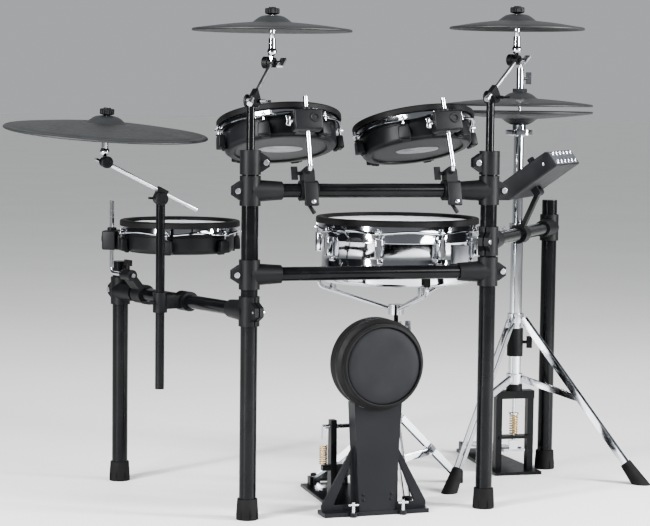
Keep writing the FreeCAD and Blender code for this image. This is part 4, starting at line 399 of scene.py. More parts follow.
def closed(profile):
    """A ring's profile with its first point again at the end, so that the spun surface closes."""
    return list(profile) + [profile[0]]


def arc(centre, radius, start, end, steps=6):
    """Points on an arc in the profile plane; angles in degrees from the outward direction."""
    points = []
    for n in range(steps + 1):
        angle = math.radians(start + (end - start) * n / steps)
        points.append((centre[0] + radius * math.cos(angle), centre[1] + radius * math.sin(angle)))
    return points


def block(name, size, middle, soften=0.0, taper=1.0, segments=3):
    """A box of the given size whose +Z end can taper, with softened edges."""
    bpy.ops.object.select_all(action="DESELECT")
    bpy.ops.mesh.primitive_cube_add(size=1.0)
    obj = bpy.context.object
    obj.name = name
    edit(obj, "FACE")
    bpy.ops.transform.resize(value=Vector(size) * MM)
    if taper != 1.0:
        pick(obj, lambda face: face.normal.z > 0.9)
        bpy.ops.transform.resize(value=(taper, taper, 1.0))
        bpy.ops.mesh.select_all(action="SELECT")
    if soften:
        bpy.ops.mesh.bevel(offset=soften * MM, segments=segments, affect="EDGES")
    leave()
    obj.data.transform(shift(*middle))
    return obj


def pick(obj, test):
    """Selects, in edit mode, the faces that pass a test."""
    leave()
    bpy.ops.object.mode_set(mode="EDIT")
    bpy.ops.mesh.select_mode(type="FACE")
    bpy.ops.mesh.select_all(action="DESELECT")
    leave()
    for face in obj.data.polygons:
        face.select = test(face)
    bpy.ops.object.mode_set(mode="EDIT")


def copies(obj, places):
    """Copies of a piece with their own meshes, put where the matrices say, in place of the piece."""
    made = []
    for place in places:
        copy = obj.copy()
        copy.data = obj.data.copy()
        bpy.context.scene.collection.objects.link(copy)
        copy.data.transform(place)
        made.append(copy)
    bpy.data.objects.remove(obj)
    return made


def around(obj, count, first=0.0):
    """Copies of a piece evenly about Z, the first one turned by some degrees."""
    step = 360.0 / count
    return copies(obj, [rotation("Z", first + step * n) for n in range(count)])


def first_bolt(count):
    """The turn of the first of some key bolts, so that the front lies midway between two."""
    return 180.0 / count - 90.0


def joined(name, items):
    only(items[0])
    for item in items:
        item.select_set(True)
    bpy.context.view_layer.objects.active = items[0]
    if len(items) > 1:
        bpy.ops.object.join()
    obj = bpy.context.view_layer.objects.active
    obj.name = name
    obj.data.name = name
    return obj


def painted(obj, finish):
    obj.data.materials.clear()
    obj.data.materials.append(FINISH[finish])
    return obj


def settle(obj, name, finish, body, replaced=(), place=None):
    """Keeps the drawing coordinates, puts the piece in place, paints it and ties it to its body."""
    obj.name = name
    obj.data.name = name
    drawn = obj.data.attributes.new("drawn", "FLOAT_VECTOR", "POINT")
    flat = [0.0] * (3 * len(obj.data.vertices))
    obj.data.vertices.foreach_get("co", flat)
    drawn.data.foreach_set("vector", flat)
    if place is not None:
        obj.data.transform(place)
    painted(obj, finish)
    if replaced:
        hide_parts(*replaced)
    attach(obj, body)
    return obj


def solids(node):
    """A CAD node's solids as separate new pieces, merged, with clean flat faces, small ones last."""
    source = NODES[node]
    copy = bpy.data.objects.new(node + "_copy", source.data.copy())
    bpy.context.scene.collection.objects.link(copy)
    only(copy)
    bpy.ops.mesh.customdata_custom_splitnormals_clear()
    edit(copy)
    bpy.ops.mesh.remove_doubles(threshold=0.002 * MM)
    bpy.ops.mesh.dissolve_limited(angle_limit=math.radians(0.6))
    bpy.ops.mesh.select_all(action="SELECT")
    bpy.ops.mesh.separate(type="LOOSE")
    leave()
    pieces = list(bpy.context.selected_objects)
    pieces.sort(key=lambda item: (-round(diagonal(item), 5), tuple(round(c, 5) for c in middle_of(item))))
    return pieces


def corners(obj):
    points = [Vector(corner) for corner in obj.bound_box]
    low = Vector([min(p[i] for p in points) for i in range(3)])
    high = Vector([max(p[i] for p in points) for i in range(3)])
    return low, high


def diagonal(obj):
    low, high = corners(obj)
    return (high - low).length


def middle_of(obj):
    low, high = corners(obj)
    return (low + high) / 2


def softened(obj, width):
    """Breaks the sharp edges, as casting, moulding and pressing do."""
    modified(obj, "BEVEL", width=width * MM, segments=2, limit_method="ANGLE", angle_limit=EDGE_ANGLE)
    smooth(obj)
    return modified(obj, "WEIGHTED_NORMAL", keep_sharp=True)


def dress(node, choose, width=None):
    """Replaces a CAD node by softened copies of its solids, one piece for each finish.

    choose gives, for a solid, the end of the piece's name, its finish and its slot, or None to leave it out.
    """
    width = width or bpy.context.scene.kit_sizes.edge_break / MM
    groups = {}
    for item in solids(node):
        choice = choose(item)
        if choice is None:
            bpy.data.objects.remove(item)
        else:
            groups.setdefault(choice, []).append(item)
    made = []
    for (ending, finish, slot), items in groups.items():
        obj = joined(node + "_" + ending, items)
        made.append(settle(softened(obj, width), node + "_" + ending, finish, BODY_OF[node], (node,)))
    return made


def whole(ending, finish, slot):
    return lambda item: (ending, finish, slot)


def by_size(limit, large, small):
    """Chooses between two finishes by a solid's size in millimetres."""
    return lambda item: large if diagonal(item) > limit * MM else small


CASTING = ("casting", "clamp", "black_clamp")
BOLTS = ("bolts", "bolt", "chrome")
SCREWS = ("screws", "clamp", "black_clamp")


def cymbal(radius, bow):
    """A rubber pad with a round cup, a shallow bow, a groove before the edge and a rolled edge."""
    brim = -9.0 - bow
    rim = radius - 14.0
    top = [(8, 0), (8, 5.2), (8.8, 6), (14, 6.1), (20, 5.5), (27, 3.3), (33, -0.2), (38.5, -4.4),
           (42.5, -7.6), (45.5, -9.0), (47, -9.9), (48.4, -9.9), (50, -9.4)]
    steps = 10
    for n in range(1, steps + 1):
        share = n / steps
        top.append((50 + (rim - 51.5) * share, -9.4 + (brim + 9.4) * share + 1.1 * math.sin(math.pi * share)))
    edge = [(rim - 0.6, brim - 0.8), (rim + 0.8, brim - 0.9), (rim + 1.8, brim - 0.3),
            (radius - 6, brim - 1.1), (radius - 2.2, brim - 2.0), (radius - 0.6, brim - 3.3),
            (radius, brim - 4.8), (radius - 0.2, brim - 6.4), (radius - 1.2, brim - 7.3),
            (radius - 3, brim - 7.5)]
    under = [(rim, brim - 7.4), (60, -16.6), (43, -15), (20, 0)]
    return smooth(lathe("pad", closed(top + edge + under), 96), 50)


def head_and_rim(name, radius):
    """The mesh head with its pulled-down skirt, and the rolled rubber rim round it."""
    skin = lathe("skin", [(0, -2), (radius + 0.2, -2), (radius + 0.2, -14), (radius + 5, -14),
                          (radius + 5, -0.8), (radius + 4.2, 0), (radius - 6, 0), (radius * 0.6, -0.25),
                          (0, -0.4)], 96)
    node = name + "_head"
    body = BODY_OF[node]
    settle(smooth(skin), name + "_mesh_head", "mesh", body, (node,), place_of(name))
    inner = radius - 1.8
    outer = radius + 14.5
    profile = [(inner + 0.4, 0.3), (radius + 10, 0.3), (radius + 10, -5.6), (outer - 0.8, -5.6),
               (outer, -4.8)]
    profile += arc((outer - 4.2, 4.4), 4.2, 0, 80, 6)
    profile += [((inner + outer) / 2, 9.0)]
    profile += arc((inner + 4.2, 4.4), 4.2, 100, 180, 6)
    rim = lathe("rim", closed(profile), 96)
    return settle(smooth(rim), name + "_rim", "rim", body, (node,), place_of(name))


def hoop(name, radius, count):
    """The pressed hoop: a band whose lower flange dips at every ear, with ears, key bolts and washers."""
    inner = radius + 5.2
    outer = radius + 9.8
    band = [(inner, -1.0), (inner, -23.4), (inner + 1.2, -24.2), (outer + 0.6, -24.2),
            (outer + 3.2, -22.8), (outer + 3.6, -21.0), (outer + 2.2, -20.4), (outer - 0.6, -19.2),
            (outer - 1.4, -16), (outer - 1.6, -1.0)]
    dip = 2.4
    ring = lathe("band", closed(band), 96)
    for vertex in ring.data.vertices:
        if vertex.co.z < -15 * MM:
            angle = math.atan2(vertex.co.y, vertex.co.x)
            swing = math.cos(count * (angle + math.pi / 2) + math.pi)
            vertex.co.z += (dip - dip * swing) * MM
    ear = block("ear", (17, 16, 5.6), (outer + 4.5, 0, -21), 1.6)
    shank = lathe("shank", [(0, -34), (2.9, -34), (2.9, -18.2), (5.6, -18.2), (5.9, -17.6), (5.6, -16.8),
                            (4.2, -16.6), (4.2, -16), (0, -16)], 16)
    key = block("key", (6.4, 6.4, 6.0), (0, 0, -13.8), 0.7)
    bolt = joined("bolt", [shank, key])
    bolt.data.transform(shift(radius + BOLT_OUT, 0, 0))
    items = [ring] + around(joined("ear_and_bolt", [ear, bolt]), count, first_bolt(count))
    node = name + "_hoop"
    obj = smooth(joined(node + "_band", items), 32)
    return settle(obj, node + "_band", "chrome", BODY_OF[node], (node,), place_of(name))


def lug_cover(radius, height, top):
    """A moulded lug: a tapered body that leans out to the bolt, with a rounded nose and a slim gusset."""
    body = block("lug", (18, 30, height), (radius + 11, 0, top - height / 2), 3.0, taper=0.86)
    gusset = block("gusset", (9, 20, height * 0.5), (radius + 3.0, 0, top - height * 0.9), 2.4)
    collar = lathe("collar", [(0, top), (6.2, top), (6.2, top + 1.4), (4.4, top + 2.6), (0, top + 2.6)], 20)
    collar.data.transform(shift(radius + BOLT_OUT, 0, 0))
    return joined("lug", [body, gusset, collar])


def tom_shell(name):
    """A tom's moulded cup with its lugs, mount block, wing bolt and recessed, dimpled underside."""
    radius = TOM_RADIUS
    profile = [(0, -63), (106.5, -63), (108, -64.2), (108.4, -67.2), (109.6, -68)]
    profile += arc((radius - 11, -57), 11, -90, 0, 7)
    profile += [(radius, -28), (radius - 0.8, -27.2), (radius, -26.4), (radius, -2.4), (radius - 4, -2.4),
                (radius - 4, -52), (radius - 13, -59), (0, -59)]
    cup = lathe("cup", profile, 96)
    lugs = around(lug_cover(radius, 30.0, -34.0), TOM_BOLTS, first_bolt(TOM_BOLTS))
    mount = block("mount", (66, 34, 46), (18, -164, -42), 4.0, segments=4)
    neck = block("neck", (46, 40, 36), (18, -143, -47), 3.0)
    sleeve = lathe("sleeve", [(5.6, -19.5), (11, -19.5), (11, -14), (9.6, -12.4), (5.6, -12.4)], 28)
    ring = [(6.0, -1.2), (11.5, -1.2), (11.5, 1.6), (10.2, 2.6), (6.6, 2.6), (6.0, 1.8)]
    ring = lathe("ring", closed(ring), 28)
    sleeve.data.transform(shift(18, -164, 0))
    ring.data.transform(shift(33, -181, -38) @ rotation("X", 90))
    node = name + "_shell"
    body = BODY_OF[node]
    place = place_of(name)
    obj = smooth(joined(node + "_cup", [cup] + lugs + [mount, neck, sleeve, ring]), 32)
    settle(obj, node + "_cup", "shell", body, (node,), place)
    disc = lathe("disc", [(0, -63.1), (104, -63.1), (104.6, -63.7), (104, -64.2), (0, -64.2)], 72)
    settle(smooth(disc), node + "_underside", "dots", body, (), place)
    oval = lathe("oval", [(0, -64.0), (52, -64.0), (52, -65.0), (50.6, -65.6), (0, -65.6)], 48)
    oval.data.transform(Matrix.Diagonal((1.0, 0.52, 1.0, 1.0)))
    settle(smooth(oval), node + "_plate", "plate", body, (), place)
    wing = wing_bolt("wing", 13.0)
    wing.data.transform(shift(-15, -164, -42) @ rotation("Y", -90))
    return settle(wing, node + "_wing", "chrome", body, (), place)


def wing_bolt(name, span):
    """A wing bolt: a turned boss with two rounded ears, leaving its seat along +Z."""
    boss = lathe("boss", [(0, -2), (4.6, -2), (5.6, 0), (5.6, 3), (4.4, 7), (3.4, 9), (0, 9.4)], 24)
    ear = block("wing_ear", (span, 4.2, 12), (span * 0.62, 0, 8.5), 1.9)
    ear.data.transform(rotation("Y", -14))
    return smooth(joined(name, [boss] + around(ear, 2)), 40)


def snare_shell(rise):
    """The polished snare shell with its beads, tube lugs and a plain plate beside the socket box."""
    radius = SNARE_RADIUS
    profile = [(0, -141), (156.5, -141), (158, -142.2), (158.4, -145.2), (159.6, -146)]
    profile += arc((radius - 9, -137), 9, -90, 0, 7)
    for bead in (-112.0, -44.0):
        profile += [(radius, bead - 3), (radius + rise, bead - 1.2), (radius + rise, bead + 1.2),
                    (radius, bead + 3)]
    profile += [(radius, -2.4), (radius - 1.8, -2.4), (radius - 1.8, -135), (radius - 11, -139.2),
                (0, -139.2)]
    shell = lathe("shell", profile, 128)
    casing = block("casing", (16, 19, 46), (radius + 9, 0, -57), 3.4, segments=4)
    tube = lathe("tube", [(0, -80), (5.6, -80), (6.4, -79), (6.4, -35.6), (7.2, -35), (7.2, -33.6), (5, -33),
                          (0, -33)], 24)
    tube.data.transform(shift(radius + BOLT_OUT, 0, 0))
    foot = block("lug_foot", (5, 13, 12), (radius + 2.2, 0, -86), 2.0)
    lugs = around(joined("lug", [casing, tube, foot]), SNARE_BOLTS, first_bolt(SNARE_BOLTS))
    place = place_of("snare")
    obj = smooth(joined("shell", [shell] + lugs), 34)
    settle(obj, "snare_shell_polished", "chrome", "snare", ("snare_shell",), place)
    box = block("box", (8, 58, 40), (radius + 2.0, 0, -72), 3.0)
    box.data.transform(rotation("Z", -45.0))
    settle(smooth(box), "snare_socket_box", "plate", "snare", (), place)
    return obj


def kick_pad():
    """The kick pad: a stippled disc inside a rolled front ring, a stepped drum and a rounded back."""
    ring = [(86.6, 3.4), (86.6, 0.8)] + arc((89.4, 3.4), 2.8, -180, 0, 8)
    ring += [(91.6, 5.0), (94.4, 6.0), (95, 7.4), (95, 20.6), (96.2, 22.4), (102.6, 26.4), (104, 28.2),
             (104, 44), (103.3, 45), (103.3, 47), (104, 48), (104, 70)]
    ring += arc((96.5, 72.5), 7.5, 0, 90, 6)
    ring += [(0, 80), (0, 70), (92, 70), (92, 34), (60, 24), (0, 22), (0, 6), (86.6, 6)]
    place = place_of("kick_pad")
    drum = lathe("drum", closed(ring), 96)
    settle(smooth(drum), "kick_pad_drum", "rim", "rack", ("kick_pad",), place)
    face = lathe("face", [(0, 6), (86.2, 6), (86.2, 4.2), (84.8, 3.5), (60, 3.2), (0, 2.9)], 96)
    return settle(smooth(face), "kick_pad_face", "kick_face", "rack", (), place)


def kick_screws():
    """Four round-headed screws low on the tower's front panel."""
    screw = lathe("screw", [(0, 0), (3.4, 0), (3.2, 1.2), (2.2, 2.0), (1.0, 2.2), (1.0, 1.2), (0, 1.2)], 20)
    spots = ((-34, 48), (34, 48), (-33, 36), (33, 36))
    items = copies(screw, [shift(x, -26.0, z) @ rotation("X", 90) for x, z in spots])
    obj = smooth(joined("screws", items), 30)
    return settle(obj, "kick_tower_screws", "clamp", "rack", (), place_of("kick"))


def module_details():
    """Screen glass, socket nuts on a pale panel, and cheek screws of the module."""
    place = place_of("module")
    glass = block("glass", (78, 40, 1.0), (0, -30, 24.0), 0.4)
    settle(smooth(glass), "module_screen", "screen", "module_case", (), place)
    panel = block("panel", (218, 1.0, 36), (0, -84.4, 0), 0.3)
    settle(smooth(panel), "module_socket_panel", "jack_panel", "module_case", (), place)
    nut = [(4.4, 0), (6.6, 0), (6.9, 0.5), (6.9, 2.0), (6.3, 2.6), (5.0, 2.6), (4.4, 2.0)]
    spots = [shift((n - 2.5) * 34, -84.8, row) for row in (-11, 11) for n in range(6)]
    items = copies(lathe("nut", closed(nut), 18), [spot @ rotation("X", 90) for spot in spots])
    nuts = smooth(joined("nuts", items), 30)
    settle(nuts, "module_socket_nuts", "bolt", "module_case", (), place)
    screw = lathe("screw", [(0, 0), (3.2, 0), (3.0, 1.0), (1.1, 1.6), (1.1, 0.7), (0, 0.7)], 18)
    spots = [(side, y) for side in (-1, 1) for y in (-60, 55)]
    items = copies(screw, [shift(side * 115, y, 0) @ rotation("Y", side * 90) for side, y in spots])
    screws = smooth(joined("cheek_screws", items))
    return settle(screws, "module_cheek_screws", "bolt", "module_case", (), place)


def knob(name, hinge, start, radius, length, body):
    """A round knob on a hinge's axis that begins start millimetres out from its middle."""
    obj = lathe("knob", [(0, 0), (radius - 1.4, 0), (radius, 1.2), (radius, length - 1.6),
                         (radius - 1.6, length), (radius * 0.55, length), (radius * 0.5, length - 0.9),
                         (0, length - 0.9)], 40)
    axis = Vector(HINGES[hinge]["axis"])
    place = Matrix.Translation(Vector(HINGES[hinge]["pos_m"]) + axis * start * MM)
    place = place @ axis.to_track_quat("Z", "Y").to_matrix().to_4x4()
    return settle(smooth(obj, 30), name, "clamp", body, (), place)


def clamp_front(name):
    """The flat front plate of a rack tom's bar clamp, the jaw under the bar and the bolt through both."""
    hinge = HINGES[name + "_hinge"]
    yaw = math.atan2(hinge["axis"][1], hinge["axis"][0])
    place = Matrix.Translation(hinge["pos_m"]) @ Matrix.Rotation(yaw, 4, "Z") @ rotation("X", CLAMP_LEAN)
    plate = block("plate", (32, 8, 54), (0, -22.5, -13), 2.4)
    jaw = block("jaw", (26, 20, 11), (0, -16, -31), 2.6)
    lever = block("lever", (9, 7, 30), (0, 0, -12), 2.2, taper=0.8)
    lever.data.transform(shift(-6, -10, -32) @ rotation("Y", -32))
    casting = smooth(joined("front", [plate, jaw, lever]), 32)
    settle(casting, name + "_clamp_front", "clamp", name, (), place)
    bolt = lathe("bolt", [(0, -1), (5.2, -1), (5.2, 1.2), (4.2, 2.6), (2.2, 3.2), (0, 3.3)], 24)
    bolt.data.transform(shift(3, -26.5, -31) @ rotation("X", 90))
    return settle(smooth(bolt), name + "_clamp_bolt", "bolt", name, (), place)


def zoned(obj, finish, zones):
    """Gives the faces wholly inside one of the balls (middle, radius in millimetres) a second finish."""
    obj.data.materials.append(FINISH[finish])
    spots = [vertex.co for vertex in obj.data.vertices]
    for face in obj.data.polygons:
        for middle, radius in zones:
            if all((spots[n] - middle).length < radius * MM for n in face.vertices):
                face.material_index = 1
    return obj


def top_nut():
    """The knurled nut that holds a pad down, hollowed underneath so that the pad can sway."""
    steps = 72
    groove_share = 0.955
    nut = lathe("nut", [(0, 7.0), (6.0, 7.0), (15.0, 9.8), (16.4, 11.0), (16.4, 20.6), (15.2, 22.0),
                        (8.6, 22.6), (8.0, 24.4), (6.6, 24.9), (0, 24.9)], steps)
    for vertex in nut.data.vertices:
        if math.hypot(vertex.co.x, vertex.co.y) > 16 * MM:
            angle = math.degrees(math.atan2(vertex.co.y, vertex.co.x))
            # Every third row of points is a groove between two ribs
            if round(angle / (360 / steps)) % 3 == 0:
                vertex.co.x *= groove_share
                vertex.co.y *= groove_share
    return smooth(nut, 30)


def hihat_coil():
    """The hi-hat's return spring, kept as drawn; on the real stand the rod presses it together by its whole
    stroke.
    """
    node = "hihat_spring"
    coil = smooth(joined("coil", solids(node)), 60)
    settle(coil, node + "_coil", "spring", BODY_OF[node], (node,))
    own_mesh(coil)


def cymbal_arm(name):
    """Mast, boom and tilter of one cymbal: black hinges, a bright boom, stem, felt and a black top nut."""
    dress(name + "_mast", whole("tube", "tube", "satin_black_tube"))
    boom = dress(name + "_boom", whole("rod", "boom", "chrome"))[0]
    fork = Vector(HINGES[name + "_tilter_hinge"]["pos_m"])
    zoned(boom, "clamp", ((Vector(HINGES[name + "_boom_hinge"]["pos_m"]), 31), (fork, 32)))
    knob(name + "_hinge_cap", name + "_boom_hinge", 12.2, 15.0, 6.5, BODY_OF[name + "_mast"])
    knob(name + "_tilt_knob", name + "_tilter_hinge", 8.1, 13.5, 13.0, BODY_OF[name + "_boom"])

    def choose(item):
        if diagonal(item) > 100 * MM:
            return ("stem", "chrome", "chrome")
        if (middle_of(item) - fork).length < 100 * MM:
            return ("felt", "felt", "strap_cloth")
        return None

    dress(name + "_tilter", choose)
    body = BODY_OF[name + "_tilter"]
    place = place_of(name)
    sleeve = [(4.2, -46), (6.2, -46), (6.4, -45.6), (6.4, -24.4), (6.0, -24), (4.2, -24)]
    sleeve = lathe("sleeve", closed(sleeve), 28)
    settle(smooth(sleeve), name + "_stem_sleeve", "chrome", body, (), place)
    settle(top_nut(), name + "_top_nut", "clamp", body, (name + "_tilter",), place)


def pad_of(node, radius, bow, place):
    """One cymbal pad in place, with its smoother underside, whose darker colour is painted shade."""
    obj = cymbal(radius, bow)
    # Faces that point down get the underside finish, whose darker colour is painted shade
    below = [face.normal.z < -0.3 for face in obj.data.polygons]
    settle(obj, node + "_pad", "cymbal", BODY_OF[node], (node,), place)
    obj.data.materials.append(FINISH["under"])
    for face, under in zip(obj.data.polygons, below):
        face.material_index = int(under)
    return obj


def stand_choice(collar=(0, 0)):
    """Chooses rubber for shoes, black for what lies between a height collar's levels, or bright metal."""
    def choose(item):
        low, high = corners(item)
        if low.z > collar[0] * MM and high.z < collar[1] * MM:
            return ("collar", "clamp", "black_clamp")
        if low.z < 1 * MM and high.z < SHOE_HEIGHT * MM:
            return ("shoes", "rubber", "black_rubber")
        if diagonal(item) < 40 * MM:
            return ("screws", "bolt", "chrome")
        return ("tubes", "chrome", "chrome")
    return choose


def clamp_choice(item):
    if diagonal(item) > CASTING_SPAN * MM:
        return CASTING
    return SCREWS if diagonal(item) > SCREW_SPAN * MM else BOLTS


# What a user can change

class KitColours(bpy.types.PropertyGroup):
    """Colours of the larger finishes."""

    tube_dark: colour_setting("Tube dark", "Darker tone of the rack's powder coat", "#0b0c0d")
    tube_light: colour_setting("Tube light", "Lighter tone of the rack's powder coat", "#121315")
    pad_dark: colour_setting("Pad dark", "Darker tone of the cymbal pads", "#1b1d1f")
    pad_light: colour_setting("Pad light", "Lighter tone of the cymbal pads", "#222426")
    head: colour_setting("Head", "Threads of the mesh heads", "#e9ebed")


class KitSizes(bpy.types.PropertyGroup):
    """Sizes of the details that the drawings leave open."""

    edge_break: length_setting("Edge break", "Width of the softened edges of castings", 0.7, 0.1, 1.5)
    bead_rise: length_setting("Bead rise", "How far the beads stand out of the snare's shell", 1.1, 0.2, 2.0)
    groove_gap: length_setting("Ring spacing", "Distance between the rings of a cymbal pad", 18.85, 6.0, 50.0)


class KitStage(bpy.types.PropertyGroup):
    """Floor, lights and camera."""

    floor: colour_setting("Floor", "Colour of the floor", "#f3f3f2")
    front: colour_setting("Front", "Tone of the studio behind the camera, which metal mirrors", "#8e9093")
    sides: colour_setting("Sides", "Tone of the studio's left and right sides", "#35373a")
    key_power: power_setting("Key light", "Power of the large light at the upper left", 280.0, 2000.0)
    fill_power: power_setting("Fill light", "Power of the light at the right", 150.0, 2000.0)
    strip_power: power_setting("Strip lights", "Power of each tall strip at the sides", 240.0, 500.0)
    sky: FloatProperty(name="Sky", description="Strength of the even light from all round",
                       default=0.8, min=0.0, max=3.0)


# Operators

class KitStep:
    """What every step shares: it is logged and can be undone."""

    bl_options = {"REGISTER", "UNDO"}


class KIT_OT_finishes(KitStep, bpy.types.Operator):
    bl_idname = "drum_kit.finishes"
    bl_label = "Mix Finishes"

    def execute(self, context):
        mix_finishes(context.scene.kit_colours, context.scene.kit_sizes.groove_gap / MM)
        return {"FINISHED"}


class KIT_OT_rack(KitStep, bpy.types.Operator):
    """Dress the tubes, clamps, bolts and feet of the rack"""

    bl_idname = "drum_kit.rack"
    bl_label = "Dress Rack"

    def execute(self, context):
        for part in ("front", "left_wing", "right_wing"):
            dress(part + "_pipes", whole("tubes", "tube", "satin_black_tube"))
        for node in ("rack_clamps", "left_wing_clamps", "right_wing_clamps", "module_bracket"):
            dress(node, clamp_choice)
        for node in ("rack_feet", "left_wing_foot", "right_wing_foot"):
            dress(node, whole("rubber", "rubber", "black_rubber"), 1.6)
        return {"FINISHED"}


class KIT_OT_cymbals(KitStep, bpy.types.Operator):
    """Turn the cymbal pads and dress the arms that carry them"""

    bl_idname = "drum_kit.cymbals"
    bl_label = "Make Cymbals"

    def execute(self, context):
        for name, radius, bow in CYMBALS:
            cymbal_arm(name)
            pad_of(name + "_cymbal", radius, bow, place_of(name))
        return {"FINISHED"}


class KIT_OT_toms(KitStep, bpy.types.Operator):
    """Make the two rack toms and the floor tom with their rods and clamps"""

    bl_idname = "drum_kit.toms"
    bl_label = "Make Toms"

    def execute(self, context):
        for name in TOMS:
            head_and_rim(name, TOM_RADIUS)
            hoop(name, TOM_RADIUS, TOM_BOLTS)
            tom_shell(name)
            dress(name + "_rod", whole("bar", "chrome", "chrome"))
        for name in RACK_TOMS:
            dress(name + "_clamp", by_size(CASTING_SPAN, CASTING, SCREWS))
            clamp_front(name)
        return {"FINISHED"}


class KIT_OT_snare(KitStep, bpy.types.Operator):
    """Make the snare drum, its basket, its post and its tripod"""

    bl_idname = "drum_kit.snare"
    bl_label = "Make Snare"

    def execute(self, context):
        head_and_rim("snare", SNARE_RADIUS)
        hoop("snare", SNARE_RADIUS, SNARE_BOLTS)
        snare_shell(context.scene.kit_sizes.bead_rise / MM)
        dress("snare_basket", by_size(60, ("arms", "chrome", "chrome"), ("grips", "rubber", "black_rubber")))
        dress("snare_post", whole("tube", "chrome", "chrome"))
        dress("snare_stand", stand_choice())
        return {"FINISHED"}


class KIT_OT_hihat(KitStep, bpy.types.Operator):
    """Make the hi-hat's two pads and dress its stand, rod and pedal"""

    bl_idname = "drum_kit.hihat"
    bl_label = "Make Hi-Hat"

    def execute(self, context):
        for node in ("hihat_bottom", "hihat_top"):
            pad_of(node, *HIHAT_PAD, place_of(node))
        dress("hihat_rod", by_size(100, ("bar", "chrome", "chrome"), ("felts", "felt", "strap_cloth")))
        dress("hihat_stand", stand_choice(COLLAR_LEVELS))
        dress("hihat_frame", whole("casting", "frame", "black_metal"))
        dress("hihat_footboard", whole("plate", "pedal", "bright_steel"))
        hihat_coil()
        return {"FINISHED"}


class KIT_OT_kick(KitStep, bpy.types.Operator):
    """Make the kick pad and dress its tower and pedal"""

    bl_idname = "drum_kit.kick"
    bl_label = "Make Kick"

    def execute(self, context):
        kick_pad()
        kick_screws()
        dress("kick_tower", by_size(300, ("panel", "tower", "black_metal"), ("spikes", "bolt", "chrome")))
        dress("kick_pedal_frame", whole("casting", "frame", "black_metal"))
        dress("kick_footboard", whole("plate", "pedal", "bright_steel"))
        dress("kick_beater", whole("axle", "bolt", "bright_steel"))
        return {"FINISHED"}


class KIT_OT_module(KitStep, bpy.types.Operator):
    """Dress the sound module and add its screen, sockets and screws"""

    bl_idname = "drum_kit.module"
    bl_label = "Make Module"

    def execute(self, context):
        dress("module_case", whole("moulding", "case", "module_plastic"))
        dress("module_dial", whole("moulding", "key", "key_plastic"))
        dress("module_knob", whole("moulding", "panel", "key_plastic"))
        dress("module_buttons", whole("moulding", "key", "key_plastic"), 0.5)
        module_details()
        return {"FINISHED"}


class KIT_OT_left_over(KitStep, bpy.types.Operator):
    """Give the kick pedal's spring and strap, which keep their drawn shapes, their own finishes"""

    bl_idname = "drum_kit.left_over"
    bl_label = "Finish Spring and Strap"

    def execute(self, context):
        for node, finish in (("kick_spring", "spring"), ("kick_strap", "strap")):
            painted(NODES[node], finish)
        return {"FINISHED"}


def area_light(name, spot, aim, size, power, height=None):
    """A large soft lamp that looks at a point, round or as a tall strip; spots are in metres."""
    bpy.ops.object.light_add(type="AREA", location=spot)
    lamp = bpy.context.object
    lamp.name = name
    lamp.data.name = name
    lamp.data.shape = "RECTANGLE" if height else "DISK"
    lamp.data.size = size
    lamp.data.size_y = height or size
    lamp.data.energy = power
    lamp.rotation_euler = (Vector(aim) - Vector(spot)).to_track_quat("-Z", "Y").to_euler()
    return lamp


def photo_camera():
    """The camera fitted to the photo: 4.6 degrees down with a roll of 0.7 degrees."""
    data = bpy.data.cameras.new("photo_camera")
    data.sensor_fit = "HORIZONTAL"
    data.sensor_width = 36.0
    focal_pixels = 2100.0
    photo_pixels = 650.0
    data.lens = focal_pixels / photo_pixels * data.sensor_width
    data.clip_end = 300.0
    camera = bpy.data.objects.new("photo_camera", data)
    bpy.context.scene.collection.objects.link(camera)
    camera.matrix_world = (Matrix.Translation((-0.116475, -4.730215, 0.951433))
                           @ rotation("X", 90.0 - 4.6) @ rotation("Z", 0.7))
    bpy.context.scene.camera = camera
    return camera


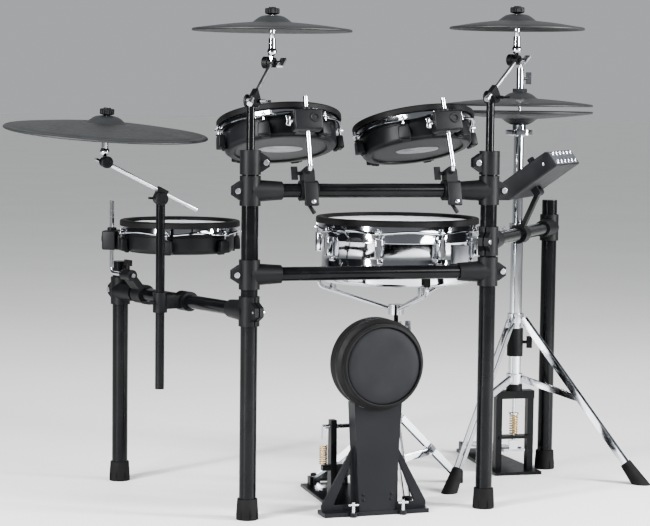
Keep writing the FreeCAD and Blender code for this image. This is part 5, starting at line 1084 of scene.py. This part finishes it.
class KIT_OT_stage(KitStep, bpy.types.Operator):
    """Lay the floor, hang the lights and set the camera"""

    bl_idname = "drum_kit.stage"
    bl_label = "Set Stage"

    def execute(self, context):
        values = context.scene.kit_stage
        bpy.ops.mesh.primitive_plane_add(size=160.0)
        floor = bpy.context.object
        floor.name = "floor"
        material, tree, shader = blank("pale_studio_floor", Roughness=0.55)
        tone = linear(values.floor)
        worn = [0.97 * channel for channel in tone[:3]] + [1.0]
        tree.links.new(vary(tree, object_coords(tree), 900.0, worn, tone), shader.inputs["Base Color"])
        floor.data.materials.append(material)
        lamps = [area_light("key", (-2.6, -3.0, 3.6), (-0.1, 0.2, 0.5), 2.4, values.key_power),
                 area_light("fill", (3.2, -2.2, 2.4), (0, 0.3, 0.5), 2.4, values.fill_power),
                 area_light("left_strip", (-3.2, -2.9, 1.6), (-0.1, 0.2, 0.7), 0.4, values.strip_power, 2.0),
                 area_light("right_strip", (3.3, -0.8, 1.6), (0.1, 0.2, 0.7), 0.6, values.strip_power, 2.0)]
        world = bpy.data.worlds.new("studio_sky")
        world.use_nodes = True
        tree = world.node_tree
        sky = tree.nodes["Background"]
        ways = add(tree, "SeparateXYZ", {"Vector": add(tree, "TexCoord").outputs["Generated"]}).outputs
        aside = add(tree, "Math", {0: ways["X"]}, operation="ABSOLUTE").outputs["Value"]
        sides = add(tree, "MapRange", {"Value": aside, "From Min": 0.5, "From Max": 0.8})
        front = add(tree, "MapRange", {"Value": ways["Y"], "From Min": 0.1, "From Max": -0.35})
        # The tone at the horizon meets that of the far floor, so that no line shows
        colour = ramp(tree, ways["Z"], (0.06, linear("#b7b9bb")), (0.5, linear("#f4f5f6")))
        for share, tone in ((front, values.front), (sides, values.sides)):
            colour = blend(tree, share.outputs["Result"], colour, linear(tone))
        tree.links.new(colour, sky.inputs["Color"])
        sky.inputs["Strength"].default_value = values.sky
        context.scene.world = world
        context.scene.view_settings.look = "AgX - Medium High Contrast"
        photo_camera()
        return {"FINISHED"}


class KIT_PT_panel(bpy.types.Panel):
    bl_idname = "KIT_PT_panel"
    bl_label = "Drum Kit"
    bl_space_type = "VIEW_3D"
    bl_region_type = "UI"
    bl_category = "Drum Kit"

    def draw(self, context):
        for values in (context.scene.kit_colours, context.scene.kit_sizes, context.scene.kit_stage):
            box = self.layout.box()
            for key in values.__annotations__:
                box.prop(values, key)
        for step in STEPS:
            self.layout.operator(step.bl_idname)


GROUPS = (("kit_colours", KitColours), ("kit_sizes", KitSizes), ("kit_stage", KitStage))
STEPS = (KIT_OT_finishes, KIT_OT_rack, KIT_OT_cymbals, KIT_OT_toms, KIT_OT_snare, KIT_OT_hihat, KIT_OT_kick,
         KIT_OT_module, KIT_OT_left_over, KIT_OT_stage)


def register():
    for name, group in GROUPS:
        bpy.utils.register_class(group)
        setattr(bpy.types.Scene, name, PointerProperty(type=group))
    for step in STEPS:
        bpy.utils.register_class(step)
    bpy.utils.register_class(KIT_PT_panel)


def unregister():
    bpy.utils.unregister_class(KIT_PT_panel)
    for step in reversed(STEPS):
        bpy.utils.unregister_class(step)
    for name, group in reversed(GROUPS):
        delattr(bpy.types.Scene, name)
        bpy.utils.unregister_class(group)


def main():
    register()
    bpy.ops.drum_kit.finishes()
    bpy.ops.drum_kit.rack()
    bpy.ops.drum_kit.cymbals()
    bpy.ops.drum_kit.toms()
    bpy.ops.drum_kit.snare()
    bpy.ops.drum_kit.hihat()
    bpy.ops.drum_kit.kick()
    bpy.ops.drum_kit.module()
    bpy.ops.drum_kit.left_over()
    bpy.ops.drum_kit.stage()


if __name__ == "__main__":
    main()
